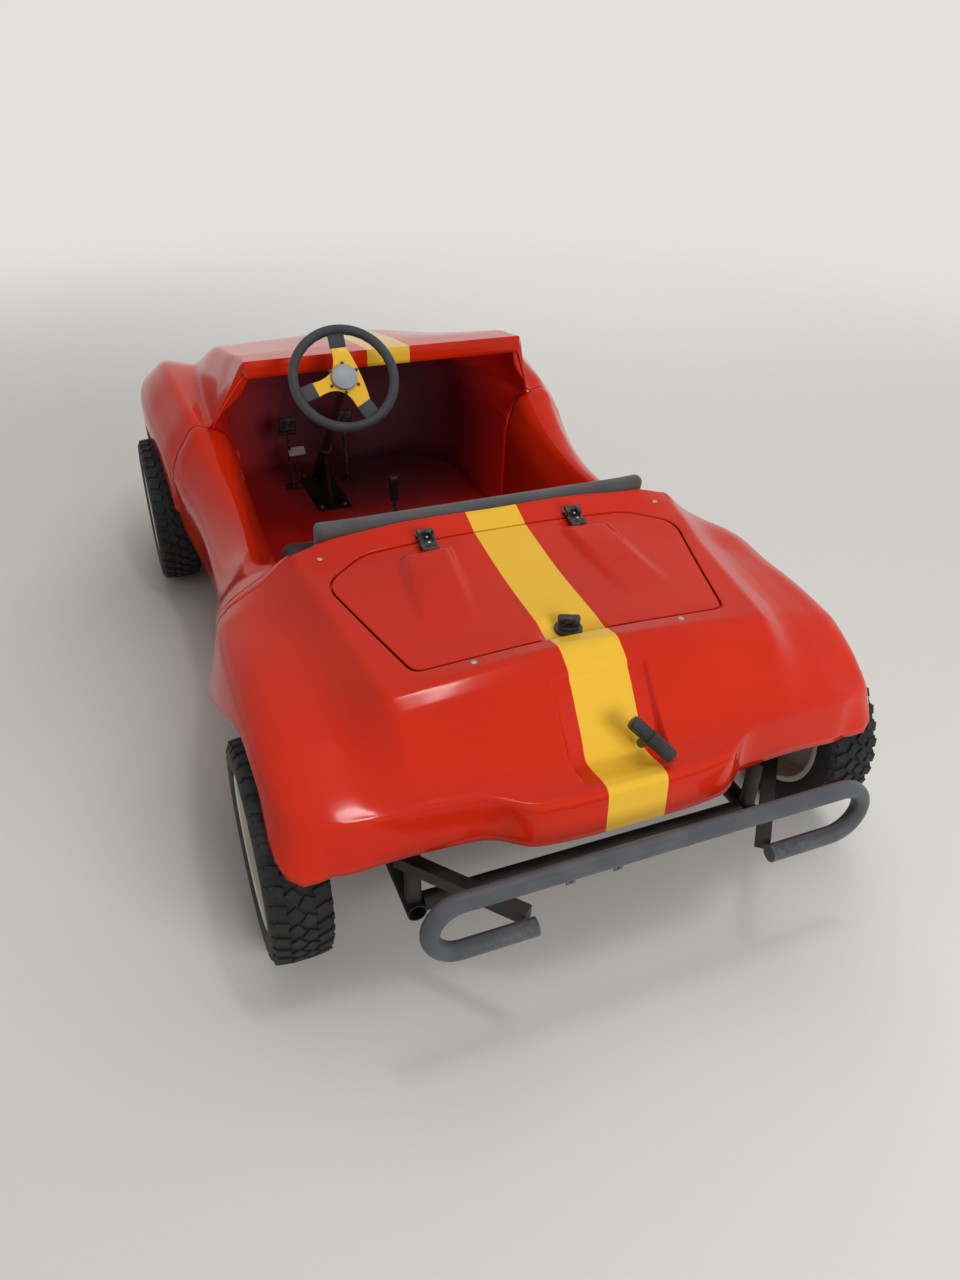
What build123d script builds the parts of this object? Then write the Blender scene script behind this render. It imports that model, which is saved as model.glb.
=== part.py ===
from build123d import *
import os

# Child-size petrol dune buggy: an open fibreglass body on a ladder frame.
# Millimetres. The front faces -Y, +X is the vehicle's left, +Z is up, and the
# origin lies on the ground under the middle of the whole vehicle.

# Wheels and axles
tyre_radius = 215.0
tyre_width = 116.0
rim_radius = 140.0
rim_width = 104.0
rim_wall = 3.0
flange_height = 9.0
bulge_radius = rim_radius + 24.0
shoulder_radius = tyre_radius - 29.0
bead_fit = 0.3
disc_thickness = 5.0
disc_x = 15.0
disc_crown = 11.0
hub_radius = 34.0
hub_length = 60.0
rear_axle_y = 790.0
front_axle_y = -740.0
rear_wheel_x = 586.0
front_wheel_x = 600.0
axle_height = tyre_radius
axle_radius = 15.0
stub_radius = 10.0
running_fit = 0.05
plate_radius = 90.0
plate_thickness = 5.0
sprocket_x = 115.0
brake_x = -300.0
sprocket_teeth = 30

# Body shell
wall = 6.0
cut_half = 900.0
body_front_y = -1128.0
body_rear_y = 1080.0
nose_base_z = 240.0
rear_base_z = 335.0
flank_base_z = 200.0
deck_front_y = 385.0
tail_half = 176.0
lid_gap = 5.0
pocket_half = 92.0
arch_rear_y = 742.0
arch_rear_z = 228.0
arch_rear_radius = 276.0
arch_front_half = 288.0
arch_front_top = 462.0

# Cockpit
cockpit_half = 405.0
body_half = cockpit_half + 235.0
floor_z = 150.0
toe_y = -1065.0
well_height = 335.0
side_front_y = -460.0
side_rear_y = 302.0
rail_y = -343.0
rail_z = 771.0
rail_lip = 44.0
fold_foot_z = 582.0
panel = 6.0

# Seat
cushion_half = cockpit_half - 9.0
cushion_front_y = -125.0
cushion_rear_y = 290.0
cushion_base_z = 250.0
cushion_top_z = 378.0
cushion_round = 26.0
back_half = cushion_half - 4.0
back_top_z = 652.0
back_thickness = 46.0
back_lean = 52.0
back_overhang = 4.0
seat_fit = 0.3

# Ladder frame
tube_radius = 19.0
tube_wall = 2.5
frame_x = cockpit_half - 33.0
frame_z = floor_z - tube_radius
frame_rear_y = 970.0
cross_places = (-300.0, 490.0, 680.0, 945.0)
kingpin_x = 500.0
fork_reach = 30.0
beam_half = kingpin_x - fork_reach
kingpin_radius = 9.0
ear_gap = 64.0
ear_thickness = 8.0
ear_half = 18.0
barrel_radius = 17.0
bearing_width = 30.0
bearing_radius = 36.0

# Steering
grip_centre_radius = 126.0
grip_radius = 13.0
wheel_centre = Vector(160.0, -200.0, 750.0)
column_foot = Vector(93.0, -870.0, 215.0)
column_end_z = 92.0
column_radius = 12.0
jacket_radius = 19.0
jacket_length = 300.0
spoke_count = 3
spoke_half = 20.0
plate_reach = 80.0
plate_waist = 37.0
pitman_length = 50.0
arm_length = 105.0
rod_radius = 7.0
rod_z = 131.0
rod_pin_radius = 5.0
rod_eye_radius = 11.0
rod_eye_height = 16.0
rod_inner_offset = 30.0

# Lid, hinges and knob
lid_front_y = 442.0
lid_rear_y = 812.0
lid_front_half = 308.0
lid_half = 396.0
lid_rear_half = 318.0
hinge_x = 169.0
hinge_y = 440.0
hinge_z = 633.0
leaf_base_z = 616.3
hinge_width = 34.0
hinge_leaf = 42.0
leaf_thickness = 4.0
barrel_outer = 6.0
pin_radius = 3.0
knuckle_half = 7.0
knuckle_gap = 0.5
strap_fall = 10.0
strap_lift = 2.8
knob_y = 782.0
knob_floor_z = 571.0
knob_well_radius = 31.0
knob_well_slope = 2.6
bulge_front_y = 489.0
bulge_rear_y = 745.0
bulge_pivot_z = 585.0
bulge_rise = 2.8

# Bumpers
bumper_radius = 16.5
bumper_top_z = 382.0
bumper_low_z = 270.0
bumper_half = 436.0
bumper_end_x = 232.0
bumper_rear_y = 1178.0
bumper_front_y = -1178.0
arm_size = 26.0
tab_places = (89.0, 177.0)
tab_width = 16.0
tab_thickness = 3.0
tab_drop = 14.0
tab_hole_radius = 3.3

engine_size = (290.0, 210.0, 300.0)
engine_y = 575.0

handle_middle = Vector(-45.0, 1032.0, 478.0)
handle_half = 50.0
handle_stem = 64.4
pedal_places = (185.0, -5.0)
pedal_y = -892.0

os.makedirs("parts", exist_ok=True)


def save(builder, name):
    builder.part.label = name
    export_step(builder.part, f"parts/{name}.step")


def bar(start, end, radius, inner=0.0):
    """Round bar or tube between two points, added to the open part."""
    start, end = Vector(start), Vector(end)
    with BuildSketch(Plane(origin=start, z_dir=end - start)) as profile:
        Circle(radius)
        if inner:
            Circle(inner, mode=Mode.SUBTRACT)
    extrude(profile.sketch, amount=(end - start).length)


def block(low, high, mode=Mode.ADD):
    """Box between two corners, added to the open part."""
    size = [b - a for a, b in zip(low, high)]
    middle = [(a + b) / 2 for a, b in zip(low, high)]
    with Locations(tuple(middle)):
        Box(*size, mode=mode)


# Body cross-sections give half of each; x is outward from the cockpit's side wall
# Rear body, from front to back
# y, centre z, ridge x z, slope x z, crown x z, side x z, hem x
rear_sections = (
    (280, 633, 37, 588, 95, 530, 155, 478, 187, 415, 183),
    (460, 628, 19, 592, 87, 542, 170, 512, 233, 450, 229),
    (630, 597, -5, 576, 69, 534, 170, 512, 237, 462, 231),
    (816, 581, -28, 560, 55, 520, 161, 506, 231, 462, 227),
    (856, 592, -33, 557, 51, 508, 157, 498, 228, 452, 224),
    (905, 561, -37, 530, 43, 486, 149, 474, 219, 436, 213),
    (960, 487, -43, 478, 35, 450, 137, 440, 204, 402, 198),
    (1015, 439, -55, 435, 33, 424, 125, 418, 193, 388, 187),
    (1100, 424, -72, 416, 25, 410, 113, 402, 181, 372, 175),
)
rear_rounds = (40, 60, 45, 30)

# Nose and front wings, from back to front
# y, centre z, hood x z, foot x z, crown x z, side x z, hem x
nose_sections = (
    (-320, 773, -22, 770, 65, 560, 107, 552, 167, 430, 155),
    (-520, 748, -19, 738, 61, 566, 123, 586, 197, 484, 185),
    (-740, 706, -25, 692, 47, 566, 131, 612, 209, 532, 197),
    (-920, 664, -37, 648, 35, 556, 129, 612, 209, 536, 197),
    (-1040, 620, -55, 600, 19, 530, 117, 580, 201, 506, 189),
    (-1150, 545, -75, 520, -3, 478, 95, 512, 185, 450, 175),
)
nose_rounds = (30, 24, 30, 30)

# Cockpit side, from front to back
# y, inner z, ridge x z, crown x z, side x z, hem x
side_sections = (
    (side_front_y, 548, 59, 562, 115, 574, 187, 468, 177),
    (-340, 492, 51, 512, 99, 508, 171, 420, 157),
    (-90, 436, 41, 458, 87, 448, 163, 396, 141),
    (100, 448, 35, 474, 89, 458, 169, 396, 147),
    (220, 512, 33, 540, 101, 500, 181, 404, 167),
    (side_rear_y, 574, 34, 586, 121, 508, 191, 418, 185),
)
side_rounds = (14, 26, 30, 34)
side_tuck = 60.0


def body_loft(sections, rounds, base_z, inset=0.0):
    """Solid under a body surface, lofted through its cross-sections."""
    with BuildPart() as body:
        for y, top, x1, z1, x2, z2, x3, z3, x4, z4, x5 in sections:
            right = [
                (x1 - inset * 0.3, z1 - inset),
                (x2 - inset * 0.6, z2 - inset),
                (x3 - inset * 0.4, z3 - inset),
                (x4 - inset, z4 - inset * 0.6),
                (x5 - inset, base_z),
            ]
            right = [(cockpit_half + x, z) for x, z in right]
            left = [(-x, z) for x, z in reversed(right)]
            radii = [0, *reversed(rounds), 400, *rounds, 0]
            with BuildSketch(Plane.XZ.offset(-y)):
                with BuildLine():
                    FilletPolyline(*left, (0, top - inset), *right, radius=radii, close=True)
                make_face()
        loft(ruled=True)
    return body.part


def plan_prism(points, rounds, low, high):
    """Upright prism on a plan outline given for the +X half."""
    mirrored = [(-x, y) for x, y in reversed(points)]
    with BuildPart() as prism:
        with BuildSketch(Plane.XY.offset(low)):
            with BuildLine():
                FilletPolyline(*points, *mirrored, radius=[*rounds, *reversed(rounds)], close=True)
            make_face()
        extrude(amount=high - low)
    return prism.part


def rear_plan(inset):
    wing_rear_y = body_rear_y - 62
    edge = ((cut_half, side_rear_y - 60), (cut_half, 680), (body_half - 30 - inset, wing_rear_y - inset),
            (body_half - 348 - inset, wing_rear_y - inset), (tail_half - inset, body_rear_y - inset))
    return plan_prism(edge, (0, 0, 100, 60, 50), 100, 800)


def nose_plan(inset):
    edge = ((body_half - inset, body_front_y + inset), (body_half + 60, -660), (body_half + 60, -260))
    return plan_prism(edge, (150, 0, 0), 100, 900)


def lid_prism(grow):
    """Upright prism on the lid's six-sided outline, grown by a margin."""
    edge = ((lid_front_half + grow, lid_front_y - grow), (lid_half + grow, lid_front_y + 60),
            (lid_rear_half + grow, lid_rear_y + grow))
    return plan_prism(edge, (45, 60, 30), 520, 700)


def tail_pocket(grow):
    """Prism that sinks the pull handle's pocket into the tail, with its step and low floor."""
    with BuildPart() as pocket:
        with BuildSketch(Plane.YZ.offset(-pocket_half - grow)):
            with BuildLine():
                FilletPolyline((899 - grow, 700), (899 - grow, 554), (967 - grow, 465 - grow / 2), (987 - grow / 2, 424 - grow),
                               (1052, 434 - grow), (1052, 700), radius=[0, 5, 30, 16, 0, 0], close=True)
            make_face()
        extrude(amount=2 * (pocket_half + grow))
    return pocket.part


def knob_well(grow):
    """Cone that sinks the round rest for the lid's knob."""
    height = 24.0
    with BuildPart() as well:
        with Locations((0, knob_y, knob_floor_z - grow)):
            Cone(knob_well_radius + grow, knob_well_radius + grow + height * knob_well_slope, height,
                 align=(Align.CENTER, Align.CENTER, Align.MIN))
    return well.part


def lid_bulges(sections_inset, grow):
    """The lid's two raised fields: the body surface tilted up about their rear end, in two tapering outlines."""
    tilted = body_loft(rear_sections, rear_rounds, flank_base_z, sections_inset)
    tilted = tilted.rotate(Axis((0, bulge_rear_y, bulge_pivot_z), (1, 0, 0)), -bulge_rise)
    with BuildPart() as bulges:
        for side in (1, -1):
            with BuildSketch(Plane.XY.offset(540)):
                with BuildLine():
                    FilletPolyline((side * (131 - grow), bulge_front_y - grow), (side * (231 + grow), bulge_front_y - grow),
                                   (side * (268 + grow), bulge_rear_y), (side * (160 - grow), bulge_rear_y),
                                   radius=[10, 10, 0, 0], close=True)
                make_face()
            extrude(amount=140)
        add(tilted, mode=Mode.INTERSECT)
    return bulges.part


# Rear body: deck, rear wings and tail in one moulding, open below
with BuildPart() as rear_skin:
    add(body_loft(rear_sections, rear_rounds, flank_base_z))
    add(rear_plan(0), mode=Mode.INTERSECT)
    add(tail_pocket(0), mode=Mode.SUBTRACT)
with BuildPart() as rear_core:
    add(body_loft(rear_sections, rear_rounds, flank_base_z - 40, wall))
    add(rear_plan(wall), mode=Mode.INTERSECT)
    add(tail_pocket(wall), mode=Mode.SUBTRACT)
with BuildPart() as rear_shell:
    add(rear_skin.part)
    add(rear_core.part, mode=Mode.SUBTRACT)
    block((-cut_half, 0, 100), (cut_half, side_rear_y, 700), Mode.SUBTRACT)
    block((-cockpit_half, 0, 100), (cockpit_half, deck_front_y, 700), Mode.SUBTRACT)

with BuildPart() as rear_body:
    add(rear_shell.part)
    with BuildSketch(Plane.YZ.offset(-cut_half)):
        with Locations((arch_rear_y, arch_rear_z)):
            Circle(arch_rear_radius)
    extrude(amount=2 * cut_half, mode=Mode.SUBTRACT)
    block((-cut_half, arch_rear_y, 100), (cut_half, body_rear_y + 60, rear_base_z), Mode.SUBTRACT)
    add(lid_prism(lid_gap), mode=Mode.SUBTRACT)
save(rear_body, "rear_body")

# Engine lid: the same surface with two raised fields and a round rest for its knob
with BuildPart() as lid_core:
    add(rear_core.part)
    add(lid_bulges(wall, -wall))
    add(knob_well(wall), mode=Mode.SUBTRACT)
with BuildPart() as engine_lid:
    add(rear_skin.part)
    add(lid_bulges(0, 0))
    add(knob_well(0), mode=Mode.SUBTRACT)
    add(lid_core.part, mode=Mode.SUBTRACT)
    add(lid_prism(0), mode=Mode.INTERSECT)
save(engine_lid, "engine_lid")

# Nose: hood and front wings in one moulding, its rear edge raked
with BuildPart() as nose_core:
    add(body_loft(nose_sections, nose_rounds, nose_base_z - 40, wall))
    add(nose_plan(wall), mode=Mode.INTERSECT)
with BuildPart() as nose_body:
    add(body_loft(nose_sections, nose_rounds, nose_base_z))
    add(nose_plan(0), mode=Mode.INTERSECT)
    add(nose_core.part, mode=Mode.SUBTRACT)
    with BuildSketch(Plane.YZ.offset(-cut_half)):
        with BuildLine():
            Polyline((0, 900), (rail_y, 900), (rail_y, rail_z - rail_lip),
                     (side_front_y, fold_foot_z), (side_front_y, 100), (0, 100), close=True)
        make_face()
    extrude(amount=2 * cut_half, mode=Mode.SUBTRACT)
    with BuildSketch(Plane.YZ.offset(-cut_half)):
        with BuildLine():
            FilletPolyline((front_axle_y - arch_front_half, 100),
                           (front_axle_y - arch_front_half, arch_front_top),
                           (front_axle_y + arch_front_half, arch_front_top),
                           (front_axle_y + arch_front_half, 100),
                           radius=[0, 180, 180, 0], close=True)
        make_face()
    extrude(amount=2 * cut_half, mode=Mode.SUBTRACT)
    rail_half = cockpit_half - 29
    block((-rail_half, rail_y - 1, rail_z - rail_lip), (rail_half, rail_y + wall, rail_z - 4))
save(nose_body, "nose_body")

# Cockpit sides: each one thick wall from the floor to the rounded sill
for side, name in ((1, "side_left"), (-1, "side_right")):
    with BuildPart() as flank:
        for y, inner_z, x1, z1, x2, z2, x3, z3, x4 in side_sections:
            with BuildSketch(Plane.XZ.offset(-y)):
                with BuildLine():
                    outline = [(x1, z1), (x2, z2), (x3, z3), (x4, flank_base_z), (x4 - side_tuck, floor_z)]
                    FilletPolyline((cockpit_half, floor_z), (cockpit_half, inner_z),
                                   *[(cockpit_half + x, z) for x, z in outline],
                                   radius=[0, *side_rounds, 20, 0], close=True)
                make_face()
        loft(ruled=True)
        if side < 0:
            mirror(about=Plane.YZ, mode=Mode.REPLACE)
    save(flank, name)

# Floor tub: floor pan, and a foot well between the front wheels
well_half = cockpit_half + panel
column_axis = (wheel_centre - column_foot).normalized()
column_end = column_foot - column_axis * ((column_foot.Z - column_end_z) / column_axis.Z)
with BuildPart() as floor_tub:
    block((-cockpit_half, side_front_y, floor_z), (cockpit_half, deck_front_y + panel, floor_z + panel))
    block((-well_half, toe_y - panel, floor_z), (well_half, side_front_y, floor_z + well_height))
    block((-cockpit_half, toe_y, floor_z + panel),
          (cockpit_half, side_front_y, floor_z + well_height), Mode.SUBTRACT)
    with BuildSketch(Plane(origin=column_end, z_dir=column_axis)):
        Circle(column_radius + 6)
    extrude(amount=250, mode=Mode.SUBTRACT)
save(floor_tub, "floor_tub")

bulkhead_half = cockpit_half - 5
with BuildPart() as bulkhead:
    with BuildSketch(Plane.XZ.offset(-deck_front_y)):
        with BuildLine():
            Polyline((-bulkhead_half, floor_z + panel), (bulkhead_half, floor_z + panel),
                     (bulkhead_half, 584), (0, 618), (-bulkhead_half, 584), close=True)
        make_face()
    extrude(amount=-panel)
save(bulkhead, "bulkhead")

# Seat: bent base panel, bench cushion and a padded back board
with BuildPart() as seat_base:
    block((-cushion_half, cushion_front_y + 20, floor_z + panel),
          (cushion_half, deck_front_y, cushion_base_z - seat_fit))
    block((-cushion_half, cushion_front_y + 20 + panel, floor_z + panel),
          (cushion_half, deck_front_y, cushion_base_z - seat_fit - panel), Mode.SUBTRACT)
save(seat_base, "seat_base")

with BuildPart() as seat_cushion:
    block((-cushion_half, cushion_front_y, cushion_base_z),
          (cushion_half, cushion_rear_y, cushion_top_z))
    fillet(seat_cushion.edges().filter_by(Axis.X), cushion_round)
save(seat_cushion, "seat_cushion")

back_foot_y = deck_front_y + back_overhang - back_thickness - back_lean
with BuildPart() as backrest:
    with BuildSketch(Plane.YZ.offset(-back_half)):
        with BuildLine():
            FilletPolyline((back_foot_y, cushion_top_z + seat_fit),
                           (back_foot_y + back_thickness, cushion_top_z + seat_fit),
                           (back_foot_y + back_thickness + back_lean, back_top_z),
                           (back_foot_y + back_lean, back_top_z), radius=14, close=True)
        make_face()
    extrude(amount=2 * back_half)
save(backrest, "backrest")

# Ladder frame: two long tubes, cross tubes and uprights that carry the tail
for side, name in ((1, "frame_rail_left"), (-1, "frame_rail_right")):
    x = side * frame_x
    with BuildPart() as rail:
        bar((x, front_axle_y + tube_radius, frame_z), (x, frame_rear_y, frame_z),
            tube_radius, tube_radius - tube_wall)
    save(rail, name)

cross_half = frame_x - tube_radius
for index, y in enumerate(cross_places):
    with BuildPart() as cross_tube:
        bar((-cross_half, y, frame_z), (cross_half, y, frame_z), tube_radius, tube_radius - tube_wall)
    save(cross_tube, f"cross_tube_{index + 1}")

# Front axle beam with a forked end and kingpin at each side
with BuildPart() as front_beam:
    bar((-beam_half, front_axle_y, frame_z), (beam_half, front_axle_y, frame_z), tube_radius)
    ear_z = ear_gap / 2
    for side in (1, -1):
        inner, outer = sorted((side * beam_half, side * (beam_half + ear_thickness)))
        block((inner, front_axle_y - 22, frame_z - tube_radius),
              (outer, front_axle_y + 22, axle_height + ear_z + ear_thickness))
        low, high = sorted((side * beam_half, side * (kingpin_x + 20)))
        for base in (axle_height - ear_z - ear_thickness, axle_height + ear_z):
            block((low, front_axle_y - ear_half, base), (high, front_axle_y + ear_half, base + ear_thickness))
        pin_half = ear_z + ear_thickness + 5
        bar((side * kingpin_x, front_axle_y, axle_height - pin_half),
            (side * kingpin_x, front_axle_y, axle_height + pin_half), kingpin_radius)
save(front_beam, "front_axle_beam")

# Steering knuckles: barrel on the kingpin, stub axle and a forward arm
arm_y = front_axle_y - arm_length
hub_inner_x = front_wheel_x - hub_length / 2
hub_outer_x = front_wheel_x + hub_length / 2
for side, name in ((1, "knuckle_left"), (-1, "knuckle_right")):
    x = side * kingpin_x
    with BuildPart() as knuckle:
        barrel_half = ear_gap / 2 - 1
        bar((x, front_axle_y, axle_height - barrel_half),
            (x, front_axle_y, axle_height + barrel_half), barrel_radius)
        bar((side * (kingpin_x + 8), front_axle_y, axle_height),
            (side * (hub_inner_x - 1), front_axle_y, axle_height), stub_radius + 5)
        bar((side * (hub_inner_x - 1), front_axle_y, axle_height),
            (side * (hub_outer_x + 9), front_axle_y, axle_height), stub_radius)
        bar((side * (hub_outer_x + 1), front_axle_y, axle_height),
            (side * (hub_outer_x + 9), front_axle_y, axle_height), stub_radius + 6)
        block((x - 9, arm_y - 9, axle_height - 27), (x + 9, front_axle_y, axle_height - 18))
        bar((x, arm_y, axle_height - 27), (x, arm_y, rod_z - 10), rod_pin_radius)
        bar((x, arm_y, axle_height - 27), (x, arm_y, rod_z + 9), rod_pin_radius + 3)
        with Locations((x, front_axle_y, axle_height)):
            Cylinder(kingpin_radius + running_fit, ear_gap, mode=Mode.SUBTRACT)
    save(knuckle, name)

# Steering column, running from the wheel down through the floor
arm_across = Vector(0, -column_axis.Z, column_axis.Y).normalized()
pitman_tip = column_end + arm_across * pitman_length
with BuildPart() as steering_column:
    bar(column_end, wheel_centre - column_axis * 2, column_radius)
    bar(column_end - column_axis * 4, column_end + column_axis * 6, column_radius + 5)
    with BuildSketch(Plane(origin=column_end - column_axis * 4, x_dir=arm_across, z_dir=column_axis)):
        with Locations((pitman_length / 2, 0)):
            SlotCenterToCenter(pitman_length, 20)
    extrude(amount=6)
save(steering_column, "steering_column")

# Column mount: jacket tube, foot plate on the floor and a brace
jacket_start = column_foot - column_axis * 40
jacket_end = jacket_start + column_axis * jacket_length
with BuildPart() as column_mount:
    bar(jacket_start, jacket_end, jacket_radius)
    block((column_foot.X - 55, column_foot.Y - 90, floor_z + panel),
          (column_foot.X + 55, column_foot.Y + 190, floor_z + panel + 5))
    bar((column_foot.X + 8, column_foot.Y + 170, floor_z + panel + 4),
        jacket_start + column_axis * (jacket_length - 30), 9)
    with BuildSketch(Plane(origin=column_end, z_dir=column_axis)):
        Circle(column_radius + running_fit)
    extrude(amount=700, mode=Mode.SUBTRACT)
    block((column_foot.X - 80, column_foot.Y - 200, 60),
          (column_foot.X + 80, column_foot.Y + 200, floor_z + panel), Mode.SUBTRACT)
save(column_mount, "column_mount")

# Steering wheel: grip, three-spoke plate and hub cap
face = Plane(origin=wheel_centre, x_dir=Vector(0, 0, 1).cross(column_axis), z_dir=column_axis)
with BuildPart() as steering_grip:
    with BuildSketch(Plane(origin=wheel_centre + face.x_dir * grip_centre_radius,
                           x_dir=face.x_dir, z_dir=face.y_dir)):
        Circle(grip_radius)
    revolve(axis=Axis(wheel_centre, column_axis))
save(steering_grip, "steering_grip")

with BuildPart() as steering_spokes:
    with BuildSketch(face.offset(-2)):
        with BuildLine():
            for index in range(spoke_count):
                arm = 90 + 360 / spoke_count * index
                right, left, waist, following = (
                    Vector(x, y).rotate(Axis.Z, arm + turn) for x, y, turn in (
                        (plate_reach, -spoke_half, 0), (plate_reach, spoke_half, 0),
                        (plate_waist, 0, 180 / spoke_count), (plate_reach, -spoke_half, 360 / spoke_count)))
                Line(right, left)
                ThreePointArc(left, waist, following)
        make_face()
        arm_end = grip_centre_radius - grip_radius + 3
        with PolarLocations((plate_reach + arm_end) / 2, spoke_count, start_angle=90):
            Rectangle(arm_end - plate_reach + 2, 2 * spoke_half)
        Circle(grip_centre_radius - grip_radius - 0.1, mode=Mode.INTERSECT)
    extrude(amount=4)
save(steering_spokes, "steering_spokes")

with BuildPart() as steering_hub:
    bar(wheel_centre + column_axis * 2, wheel_centre + column_axis * 16, 32)
    fillet(steering_hub.faces().sort_by(Axis(wheel_centre, column_axis))[-1].edges(), 4)
save(steering_hub, "steering_hub")

# Tie rods: each hangs on a knuckle arm's pin and reaches to the pitman arm
for side, name in ((1, "tie_rod_left"), (-1, "tie_rod_right")):
    outer = Vector(side * kingpin_x, arm_y, rod_z)
    inner = Vector(pitman_tip.X + side * rod_inner_offset, pitman_tip.Y, rod_z)
    half_eye = Vector(0, 0, rod_eye_height / 2)
    with BuildPart() as tie_rod:
        bar(outer, inner, rod_radius)
        for eye in (outer, inner):
            bar(eye - half_eye, eye + half_eye, rod_eye_radius)
        with Locations(outer):
            Cylinder(rod_pin_radius + running_fit, 2 * rod_eye_height, mode=Mode.SUBTRACT)
    save(tie_rod, name)

# Wheels: each tyre and rim turned about its axle
tyre_half = tyre_width / 2
rim_half = rim_width / 2
lip_radius = rim_radius + flange_height
bead_half = rim_half - rim_wall - 3


def tyre_ring(centre):
    """Tyre turned about the axle through its centre."""
    with BuildSketch(Plane(origin=centre, x_dir=(1, 0, 0), z_dir=(0, -1, 0))) as profile:
        with BuildLine():
            FilletPolyline((-bead_half, rim_radius + bead_fit), (bead_half, rim_radius + bead_fit),
                           (bead_half, lip_radius), (tyre_half - 3, bulge_radius), (tyre_half, shoulder_radius),
                           (tyre_half - 12, tyre_radius), (-tyre_half + 12, tyre_radius),
                           (-tyre_half, shoulder_radius), (-tyre_half + 3, bulge_radius), (-bead_half, lip_radius),
                           radius=[0, 0, 4, 10, 16, 12, 12, 16, 10, 4], close=True)
        make_face()
    revolve(profile.sketch, axis=Axis(centre, (1, 0, 0)))


def wheel_rim(centre, side, bore):
    """Pressed steel rim with its disc towards the outside."""
    inner = rim_radius - rim_wall
    lip_x = rim_half - rim_wall
    with BuildSketch(Plane(origin=centre, x_dir=(1, 0, 0), z_dir=(0, -1, 0))) as profile:
        with BuildLine():
            Polyline((-rim_half, inner), (rim_half, inner), (rim_half, lip_radius), (lip_x, lip_radius),
                     (lip_x, rim_radius), (-lip_x, rim_radius), (-lip_x, lip_radius), (-rim_half, lip_radius), close=True)
        make_face()
        with BuildLine():
            dish = [(disc_x, hub_radius - 2), (disc_x, hub_radius + 22), (disc_x + disc_crown, inner - 42),
                    (disc_x + disc_crown, inner - 30), (disc_x, inner - 12), (disc_x, inner + 1)]
            back = [(x - disc_thickness, radius) for x, radius in reversed(dish)]
            FilletPolyline(*[(side * x, radius) for x, radius in dish + back],
                           radius=[0, 8, 8, 8, 8, 0, 0, 8, 8, 8, 8, 0], close=True)
        make_face()
        with Locations((0, (hub_radius + bore) / 2)):
            Rectangle(hub_length, hub_radius - bore)
    revolve(profile.sketch, axis=Axis(centre, (1, 0, 0)))


for name, x, y, side, bore in (
    ("front_left", front_wheel_x, front_axle_y, 1, stub_radius + running_fit),
    ("front_right", -front_wheel_x, front_axle_y, -1, stub_radius + running_fit),
    ("rear_left", rear_wheel_x, rear_axle_y, 1, axle_radius),
    ("rear_right", -rear_wheel_x, rear_axle_y, -1, axle_radius),
):
    with BuildPart() as tyre:
        tyre_ring((x, y, axle_height))
    save(tyre, f"tyre_{name}")
    with BuildPart() as rim:
        wheel_rim((x, y, axle_height), side, bore)
    save(rim, f"rim_{name}")

# Rear axle: live shaft in two bearings, with a sprocket and a brake disc
axle_half = rear_wheel_x + hub_length / 2 + 4
with BuildPart() as axle_shaft:
    bar((-axle_half, rear_axle_y, axle_height), (axle_half, rear_axle_y, axle_height), axle_radius)
save(axle_shaft, "rear_axle_shaft")

for name, x, teeth in (("sprocket", sprocket_x, True), ("brake_disc", brake_x, False)):
    with BuildPart() as plate:
        with BuildSketch(Plane.YZ.offset(x)):
            with Locations((rear_axle_y, axle_height)):
                Circle(plate_radius)
                if teeth:
                    with PolarLocations(plate_radius, sprocket_teeth):
                        Circle(4.5, mode=Mode.SUBTRACT)
                Circle(axle_radius, mode=Mode.SUBTRACT)
        extrude(amount=plate_thickness)
        with BuildSketch(Plane.YZ.offset(x + plate_thickness)):
            with Locations((rear_axle_y, axle_height)):
                Circle(30)
                Circle(axle_radius, mode=Mode.SUBTRACT)
        extrude(amount=22)
    save(plate, name)

with BuildPart() as axle_bearings:
    for x in (-frame_x, frame_x):
        with BuildSketch(Plane.YZ.offset(x - bearing_width / 2)):
            with Locations((rear_axle_y, axle_height)):
                Circle(bearing_radius)
            with Locations((rear_axle_y, floor_z)):
                Rectangle(2 * bearing_radius, axle_height - floor_z, align=(Align.CENTER, Align.MIN))
            with Locations((rear_axle_y, axle_height)):
                Circle(axle_radius + running_fit, mode=Mode.SUBTRACT)
        extrude(amount=bearing_width)
save(axle_bearings, "axle_bearings")

with BuildPart() as engine_block:
    block((-engine_size[0] / 2, engine_y - engine_size[1] / 2, floor_z),
          (engine_size[0] / 2, engine_y + engine_size[1] / 2, floor_z + engine_size[2]))
save(engine_block, "engine_block")

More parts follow.
